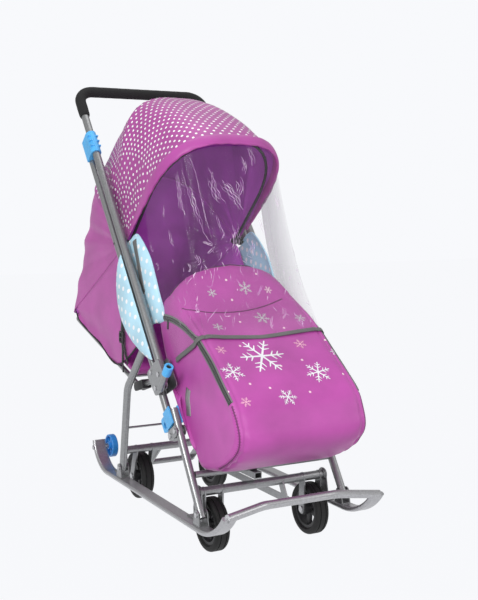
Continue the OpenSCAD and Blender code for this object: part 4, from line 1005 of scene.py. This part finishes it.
fold_seam = tape("flap_seam", muff_tree, seen_on(muff_tree, FOLD_SPOTS), 3.0, 0.5, "seam_dark")
zip_path = seen_on(muff_tree, ZIP_SPOTS)
corner_path = seen_on(muff_tree, CORNER_SPOTS)
pull_path = seen_on(muff_tree, PULL_SPOTS)
strip_path = seen_on(muff_tree, STRIP_SPOTS)
trims = [piping, fold_seam]
for side, word in SIDES[::-1]:
    turn = flip_x if side > 0 else list
    zipper, corner = turn(zip_path), turn(corner_path)
    trims += [
        tape("zip_tape_" + word, muff_tree, zipper, 18, 0.7, "zip_tape", 90),
        tape("zip_chain_" + word, muff_tree, zipper, 9, 1.7, "zip_metal", 90),
        stitches("zip_teeth_" + word, muff_tree, zipper, "tape_grey", 3.4, (1.5, 5.6, 2.0), 1.6),
        tape("zip_pull_" + word, muff_tree, turn(pull_path), 6, 1.2, "zip_metal", 8, 1.4),
        tape("corner_seam_" + word, muff_tree, corner, 3.2, 0.6, "seam_dark"),
        stitches("corner_gather_shade_" + word, muff_tree, corner, "seam_dark", 6.5, (1.0, 9.0, 0.9), 0.0),
        tape("side_reflector_" + word, muff_tree, turn(strip_path), 24, 0.5, "reflective", 30),
    ]
for obj in trims:
    sewn = obj.name.startswith(("flap_seam", "corner_"))
    finish_piece(obj, "upright", "violet_cloth" if sewn else "strap_black")

# A plain winter print on the front panel and the flap: six-armed flakes and small round dots
PRINT = [((262, 356), 60, "print_white"), ((318, 372), 34, "print_white"), ((233, 372), 30, "print_white"),
         ((300, 344), 17, "print_pink"), ((288, 397), 24, "print_white"), ((246, 402), 14, "print_pink"),
         ((334, 352), 13, "print_white"), ((221, 350), 15, "print_pink"), ((262, 318), 22, "print_pale"),
         ((300, 318), 16, "print_pale"), ((218, 327), 15, "print_pale"), ((245, 288), 20, "print_pale"),
         ((212, 293), 13, "print_pale"), ((268, 290), 12, "print_rose")]
DOTS = [(281, 366), (270, 388), (240, 346), (310, 392), (325, 340), (250, 384), (228, 392), (302, 360),
        (343, 374), (226, 280), (256, 274), (232, 300), (284, 328), (240, 322)]
PRINT_LIFT = 0.45
PRINT_DOT_R = 3.4


def strip(points, faces, place, start, stop, width, tip):
    """A narrow strip between two places in a motif's plane, laid on the footmuff."""
    centre, u, v = place
    first = len(points)
    along = Vector((stop[0] - start[0], stop[1] - start[1]))
    side = Vector((-along.y, along.x)).normalized() * width / 2
    steps = max(2, int(along.length / 6))
    for i in range(steps + 1):
        t = i / steps
        w = lerp(1.0, tip, t)
        for s in (1, -1):
            x = lerp(start[0], stop[0], t) + side.x * s * w
            y = lerp(start[1], stop[1], t) + side.y * s * w
            points.append(set_on(muff_tree, Vector(centre) + u * x + v * y, PRINT_LIFT))
    faces += ribbon(first, steps)


def motif_place(spot):
    """The footmuff's place behind an image place, with two directions across it, or nothing."""
    hit = seen_on(muff_tree, [spot])
    if not hit:
        return None
    n = laid(muff_tree, hit[0], 0)[1]
    u = n.cross(Vector((0, 0, 1))).normalized()
    return hit[0], u, n.cross(u).normalized()


prints = {}
for turn, (spot, radius, key) in enumerate(PRINT):
    place = motif_place(spot)
    if not place:
        continue
    points, faces = prints.setdefault(key, ([], []))
    for arm in range(6):
        a = 60 * arm + 13 * turn
        w = radius * 0.085 + 0.8
        strip(points, faces, place, (0, 0), polar((0, 0), radius, a), w, 0.6)
        for share, reach in ((0.42, 0.3), (0.68, 0.24)):
            root = polar((0, 0), radius * share, a)
            for lean in (-55, 55):
                strip(points, faces, place, root, polar(root, radius * reach, a + lean), w * 0.8, 0.5)
for spot in DOTS:
    place = motif_place(spot)
    if not place:
        continue
    centre, u, v = place
    points, faces = prints.setdefault("print_rose", ([], []))
    faces += disc(len(points))
    points.append(set_on(muff_tree, centre, PRINT_LIFT))
    for k in range(12):
        edge = Vector(centre) + (u * cosd(30 * k) + v * sind(30 * k)) * PRINT_DOT_R
        points.append(set_on(muff_tree, edge, PRINT_LIFT))
for key, (points, faces) in prints.items():
    motifs = face_out(piece("muff_" + key, points, faces, key), MUFF_CENTRE)
    finish_piece(motifs, "upright", "violet_cloth")

# Clear rain cover from the hood's front edge down to its bound hem
FILM_COLS = 160
FILM_ROWS = 64
FILM_GAP = 4.0
FILM_HALF = 174
FILM_A = 141.2
FILM_INSIDE = (0, 0, 650)
HEM_SIDE = [(182, -135, 455), (182, -162, 469), (182, -208, 491), (174, -240, 509), (139, -245, 511),
            (84, -250, 514)]
HEM_STEPS = 200
HEM = [set_on(skin_tree, p, FILM_GAP)
       for p in curve(HEM_SIDE + [(0, -255, 517)] + flip_x(HEM_SIDE)[::-1], HEM_STEPS + 1)]


def film_point(u, v, lift=0.0):
    """A place on the film: u runs from the hood down to the hem, v from its left to its right edge."""
    v = clamp(v)
    a = 180 * v
    r = SIDE_R + (HOOD_R - 3 - SIDE_R) * max(sind(a), 0) ** ARCH_N
    top = (FILM_HALF * power(cosd(a), ARCH_N),) + polar(HOOD, r, FILM_A)
    i = min(int(v * HEM_STEPS), HEM_STEPS - 1)
    hem = mix(HEM[i], HEM[i + 1], v * HEM_STEPS - i)
    ease = lerp(u, u * u, 0.7)
    p = (lerp(top[0], hem[0], ease), lerp(top[1], hem[1], ease), lerp(top[2], hem[2], u))
    out = (18 + 4 * cosd(360 * 7 * v)) * sind(180 * u) * sind(a)
    pull = sind(180 * clamp(u, 0.02, 0.98)) ** 0.5
    crease = 1 - 2 * abs(waver(v * 26, u * 2.2, 5.0))
    fine = waver(v * 60, u * 7, 9.0)
    out += (5.0 * crease + 2.0 * fine) * pull * (1 - u ** 6)
    p = (p[0] + 0.25 * out * cosd(a), p[1] - out * max(sind(a), 0.25), p[2])
    spot, n = skin_tree.find_nearest(world(p))[:2]
    if (world(p) - spot).dot(n) < FILM_GAP * 0.001:
        p = back_mm(spot + n * FILM_GAP * 0.001)
    return (p[0] + 0.25 * lift * cosd(a), p[1] - lift * max(sind(a), 0.25), p[2])


film_rows = rows_of(FILM_ROWS, FILM_COLS, film_point)
film_uvs = flatten(rows_of(FILM_ROWS, FILM_COLS, lambda u, v: (v, u)))
film = face_out(grid("rain_film", film_rows, "clear_film", film_uvs), FILM_INSIDE)
hem = tape("film_hem", skin_tree, HEM[::10], 12, 0.9, "tape_grey", 160, FILM_GAP)

# Painted highlights along the film's creases: pale, partly clear strips laid on it, each a width and the
# image places it runs through
PAINTED_GLINT_RUNS = [
    (8, [(174.3, 166), (178.9, 185.9), (180.4, 204.3), (183.5, 216.5)]),
    (9, [(183.5, 167.6), (189.6, 190.5), (197.2, 213.5), (204.9, 234.9), (214.1, 245.6)]),
    (3, [(189.6, 156.8), (195.7, 173.7), (201.8, 201.2), (208, 225.7), (214.9, 245.6)]),
    (12, [(205.7, 163), (209.5, 175.2), (215.6, 193.6), (223.3, 205.8), (227.9, 211.9)]),
    (16, [(220.2, 179.8), (229.4, 190.5), (237, 201.2), (240.1, 210.4)]),
    (14, [(237, 178.3), (240.1, 185.9), (238.6, 198.2)]),
    (8, [(238.6, 149.2), (247.8, 147.7), (252.4, 158.4), (254.7, 170.6)]),
    (8, [(240.9, 156.8), (244.7, 164.5), (243.2, 173.7)]),
    (4, [(165.1, 202.8), (163.6, 215), (167.4, 216.5)]),
    (7, [(168.9, 225.7), (171.2, 239.5), (175.8, 247.1)]),
    (6, [(150.6, 238), (151.3, 247.1), (154.4, 253.3)]),
    (5, [(215.6, 213.5), (220.2, 227.2), (226.3, 241)]), (14, [(234, 219.6), (237, 238), (235.5, 256.3)]),
    (10, [(247.8, 238), (252.4, 247.1), (249.3, 256.3)]), (4, [(214.5, 246), (209, 244), (203, 242)]),
    (4, [(214.5, 246), (210, 252), (206, 254)]), (8, [(195.7, 253.3), (198.8, 260.9), (196, 264)]),
    (5, [(155.9, 262.5), (159, 267), (157.5, 270)]),
    (2.5, [(201.8, 273.2), (204.9, 283.9), (211, 286.9), (214.1, 274.7), (215.6, 262.5)]),
    (2.5, [(241.6, 262.5), (240.1, 270.1), (244.7, 277.8)]),
    (3, [(252.4, 260.9), (253.9, 270.1), (252, 275)]),
    (8, [(275.3, 195.1), (278.4, 204.3), (277.5, 212)]),
    (7, [(274.6, 247.1), (276.8, 260.9), (276, 268)]), (8, [(257, 213.5), (261, 224), (264.6, 236.4)]),
    (5, [(198.8, 296.1), (197.2, 308.4), (201.8, 316)]),
    (3, [(220.2, 296.1), (218.7, 305.3), (214, 313), (208, 320.6), (209.5, 329.8)]),
    (3, [(226.3, 309.9), (224.8, 316), (230.9, 316)]), (4, [(234.8, 313), (233.2, 322.2), (234, 327)]),
    (7, [(281.4, 305.3), (284.5, 313), (282, 318)]), (4, [(272.3, 316), (270.7, 325.2), (274, 329)]),
    (8, [(296.7, 319.1), (301.3, 323.7), (304, 327)]), (4, [(262, 284), (260, 291), (257, 295)]),
    (3, [(245, 300), (248, 307), (252, 309)]), (4, [(188, 262), (190.5, 268), (189, 272)]),
    (3, [(183, 296), (186, 302), (184.5, 306)]),
]
GLINT_LIFT = 0.8
STRAND_PITCH = 2.6
SMALL_GLINTS = 70
film_tree = bvh(film)
glint_points, glint_faces = [], []
for width, pixels in PAINTED_GLINT_RUNS:
    run = seen_on(film_tree, pixels)
    if len(run) < 2:
        continue
    count = max(8, int(run_length(run) / 4))
    line = curve(run, count)
    strands = max(1, round(width / STRAND_PITCH))
    for strand in range(strands):
        lead = int(count * 0.35 * random.random())
        tail = count - int(count * 0.3 * random.random())
        if tail - lead < 4:
            continue
        shift = (strand - (strands - 1) / 2) * width / strands * 1.7
        phase = 360 * random.random()
        thick = random.uniform(0.5, 1.3)
        glint_faces += ribbon(len(glint_points), tail - lead - 1)
        for i in range(lead, tail):
            side = laid(film_tree, line[i], 0)[1].cross(heading(line, i)).normalized()
            middle = shift + 0.12 * width * sind(phase + 55 * i)
            taper = max(sind(180 * (i - lead + 0.5) / (tail - lead)), 0) ** 0.5
            half = thick * taper * random.uniform(0.5, 1.4)
            for turn in (1, -1):
                edge = Vector(line[i]) + side * (middle + turn * half)
                glint_points.append(set_on(film_tree, edge, GLINT_LIFT))
for k in range(SMALL_GLINTS):
    u = 0.45 + 0.5 * random.random()
    v = 0.14 + 0.76 * random.random()
    lean = random.uniform(-0.02, 0.02)
    run = 0.012 + 0.03 * random.random()
    width = 0.0008 + 0.0022 * random.random()
    glint_faces += ribbon(len(glint_points), 3)
    for t, w in ((0, 0.1), (0.35, 1.0), (0.7, 0.7), (1, 0.1)):
        for turn in (1, -1):
            across = v + lean * t + turn * width * w
            glint_points.append(film_point(min(u + run * t, 0.985), across, GLINT_LIFT))
glints = face_out(piece("film_painted_glints", glint_points, glint_faces, "film_glint"), FILM_INSIDE)

for obj, slot in ((film, "clear_film"), (hem, "strap_black"), (glints, "clear_film")):
    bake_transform(obj)
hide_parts("rain_cover")

# Seat and back pads, crowned and quilted in channels
PAD_T = 32
PAD_BASE = 7.4
PAD_INSET = 7
PAD_ROWS = 48
PAD_COLS = 32


def quilted(name, half, start, stop, at, body, node):
    def top(v, u):
        crown = (max(0, 1 - abs(2 * u - 1) ** 6) * max(0, 1 - abs(2 * v - 1) ** 6)) ** 0.5
        height = PAD_T * lerp(0.55, 0.97, crown) - 5 * crown * abs(cosd(180 * v * 4)) ** 12
        x, a = lerp(-half, half, u) * (1 - 0.012 * sind(180 * v)), lerp(start, stop, v)
        return (x,) + at(a, PAD_BASE + height + 0.8 * waver(x * 0.02, a * 0.02, 2))

    def low(v, u):
        x = lerp(PAD_INSET - half, half - PAD_INSET, u)
        return (x,) + at(lerp(start + PAD_INSET, stop - PAD_INSET, v), PAD_BASE)

    rows = [rows_of(PAD_ROWS, PAD_COLS, face) for face in (top, low)]
    pad = piece(name, *closed_pad(*rows), "violet_cloth")
    soften(face_out(pad, (0,) + at((start + stop) / 2, 20)))
    finish_piece(pad, body, "violet_cloth", node)


SEAT_FRONT = upright_at(175, -12)
SEAT_ANGLE = bearing(SEAT_FRONT, RECLINE)
SEAT_SPAN = math.dist(SEAT_FRONT, RECLINE)


def seat_at(along, above):
    return polar(polar(SEAT_FRONT, along, SEAT_ANGLE), above, SEAT_ANGLE + 90)


quilted("seat_cushion", 153.0, 4.5, SEAT_SPAN - 24.5, seat_at, "upright", "seat_pad")
quilted("back_cushion", 167.5, 46.5, BACK_LEN - 8.5, back_at, "backrest", "back_pad")

# Foam grip around the handle's top
HANDLE = upright_at(153, 37)
HANDLE_LEN = 962
FOAM_DROP = 100
BEND = 46
HANDLE_X = 200
FOAM_R = 15.5


def handle_at(x, along):
    return (x,) + polar(HANDLE, along, UPRIGHT_ANGLE)


loop = [handle_at(HANDLE_X, HANDLE_LEN - FOAM_DROP), handle_at(HANDLE_X, HANDLE_LEN - BEND)]
loop += [handle_at(HANDLE_X - BEND + BEND * cosd(a), HANDLE_LEN - BEND + BEND * sind(a))
         for a in range(10, 90, 10)]
loop += [handle_at(HANDLE_X - BEND, HANDLE_LEN)]
loop += flip_x(loop)[::-1]


def foam_radius(t):
    end = min(t, 1 - t) * 160
    return FOAM_R * (1 - 0.18 * math.exp(-end * 0.8)) + 0.12 * math.sin(t * 900)


foam = tube("foam_sleeve", resample(loop, 161), foam_radius, "foam_black", 28)
finish_piece(foam, "handle", "foam_black", "foam_grip")

# Recline straps with ladder buckles
STRAP_X = 177.6
STRAP_RUNS = [(20, [(222, 530), (224, 500), (225, 470)]), (10, [(225, 470), (224, 420), (221, 372)]),
              (10, [(224, 468), (206, 430), (186, 400)])]
STRAP_STEPS = 24
BUCKLE_AT = (225, 470)
BUCKLE_X = 180.4
for side, word in SIDES:
    points, faces = [], []
    for width, run in STRAP_RUNS:
        half = width / 2
        outline = ((0.7, -half), (0.9, 0), (0.7, half), (-0.5, half), (-0.5, -half))
        pts = curve(run, STRAP_STEPS + 1)
        rings = []
        for i, p in enumerate(pts):
            t = heading(pts, i).normalized()
            wave = 0.5 * sind(i * 29)
            rings.append([(side * STRAP_X + side * (wave + dx), p[0] - t.y * w, p[1] + t.x * w)
                          for dx, w in outline])
        add_rings(points, faces, rings)
    strap = piece("recline_strap_" + word, points, faces, "strap_black")
    face_out(strap, (side * STRAP_X, 215, 450))
    finish_piece(strap, "upright", "strap_black", "recline_straps")
    y, z = BUCKLE_AT
    steps = [(world((side * BUCKLE_X, y, z + dz)), (0, 1, 0), (side, 0, 0)) for dz in (14, 0, -14)]
    cheeks = [(world((side * (BUCKLE_X - 0.4), y + dy, z)), (0, 0, 1), (side, 0, 0)) for dy in (-12, 12)]
    for obj in (bars("strap_buckle_" + word, steps, (28, 5, 5), "black_plastic"),
                bars("strap_buckle_frame_" + word, cheeks, (34, 5, 5.4), "black_plastic")):
        finish_piece(obj, "upright", "strap_black")

# Floor, world and lamps
floor_data = bpy.data.meshes.new("floor")
floor_data.from_pydata([(-9, -9, 0), (9, -9, 0), (9, 9, 0), (-9, 9, 0)], [], [(0, 1, 2, 3)])
floor = placed("floor", floor_data)
BACKDROP = (0.9386, 0.9473, 0.9729, 1)
FLOOR_GLOW = 0.985
AIR_LIGHT = 0.55
pale = Nodes("floor_pale")
put(pale.shader, Base_Color=(0.6, 0.605, 0.615, 1), Roughness=0.9)
rays = pale.add("ShaderNodeLightPath").outputs
seen = pale.math("MAXIMUM", rays["Is Camera Ray"], rays["Is Glossy Ray"])
seen = pale.math("MAXIMUM", seen, rays["Is Transmission Ray"])
glow = put(pale.add("ShaderNodeEmission"), Color=BACKDROP).outputs["Emission"]
pale.either(pale.math("MULTIPLY", seen, FLOOR_GLOW), pale.shader.outputs["BSDF"], glow,
            pale.tree.nodes["Material Output"].inputs["Surface"])
floor_data.materials.append(pale.material)

sky = bpy.data.worlds.new("studio")
scene.world = sky
air = Tree(sky)
air.tree.nodes.clear()
rays = air.add("ShaderNodeLightPath").outputs
seen = air.math("MAXIMUM", rays["Is Camera Ray"], rays["Is Transmission Ray"])
backgrounds = [put(air.add("ShaderNodeBackground"), Color=colour, Strength=strength).outputs["Background"]
               for colour, strength in (((1, 1, 1, 1), AIR_LIGHT), (BACKDROP, 1.0))]
air.either(seen, *backgrounds, air.add("ShaderNodeOutputWorld").inputs["Surface"])


def lamp(name, place, aim, size, watts):
    data = bpy.data.lights.new(name, "AREA")
    data.shape = "DISK"
    data.size = size
    data.energy = watts
    look_from(placed(name, data), place, aim)


lamp("key", (-3.0, -1.7, 2.3), (0, 0.0, 0.6), 1.5, 62)
lamp("front", (-0.9, -3.0, 1.0), (0, 0.1, 0.75), 1.6, 23)
lamp("fill", (2.6, -2.4, 1.7), (0, -0.1, 0.5), 2.0, 17)
lamp("top", (0.3, 0.6, 3.2), (0, 0, 0.6), 2.2, 18)

scene.view_settings.view_transform = "Standard"
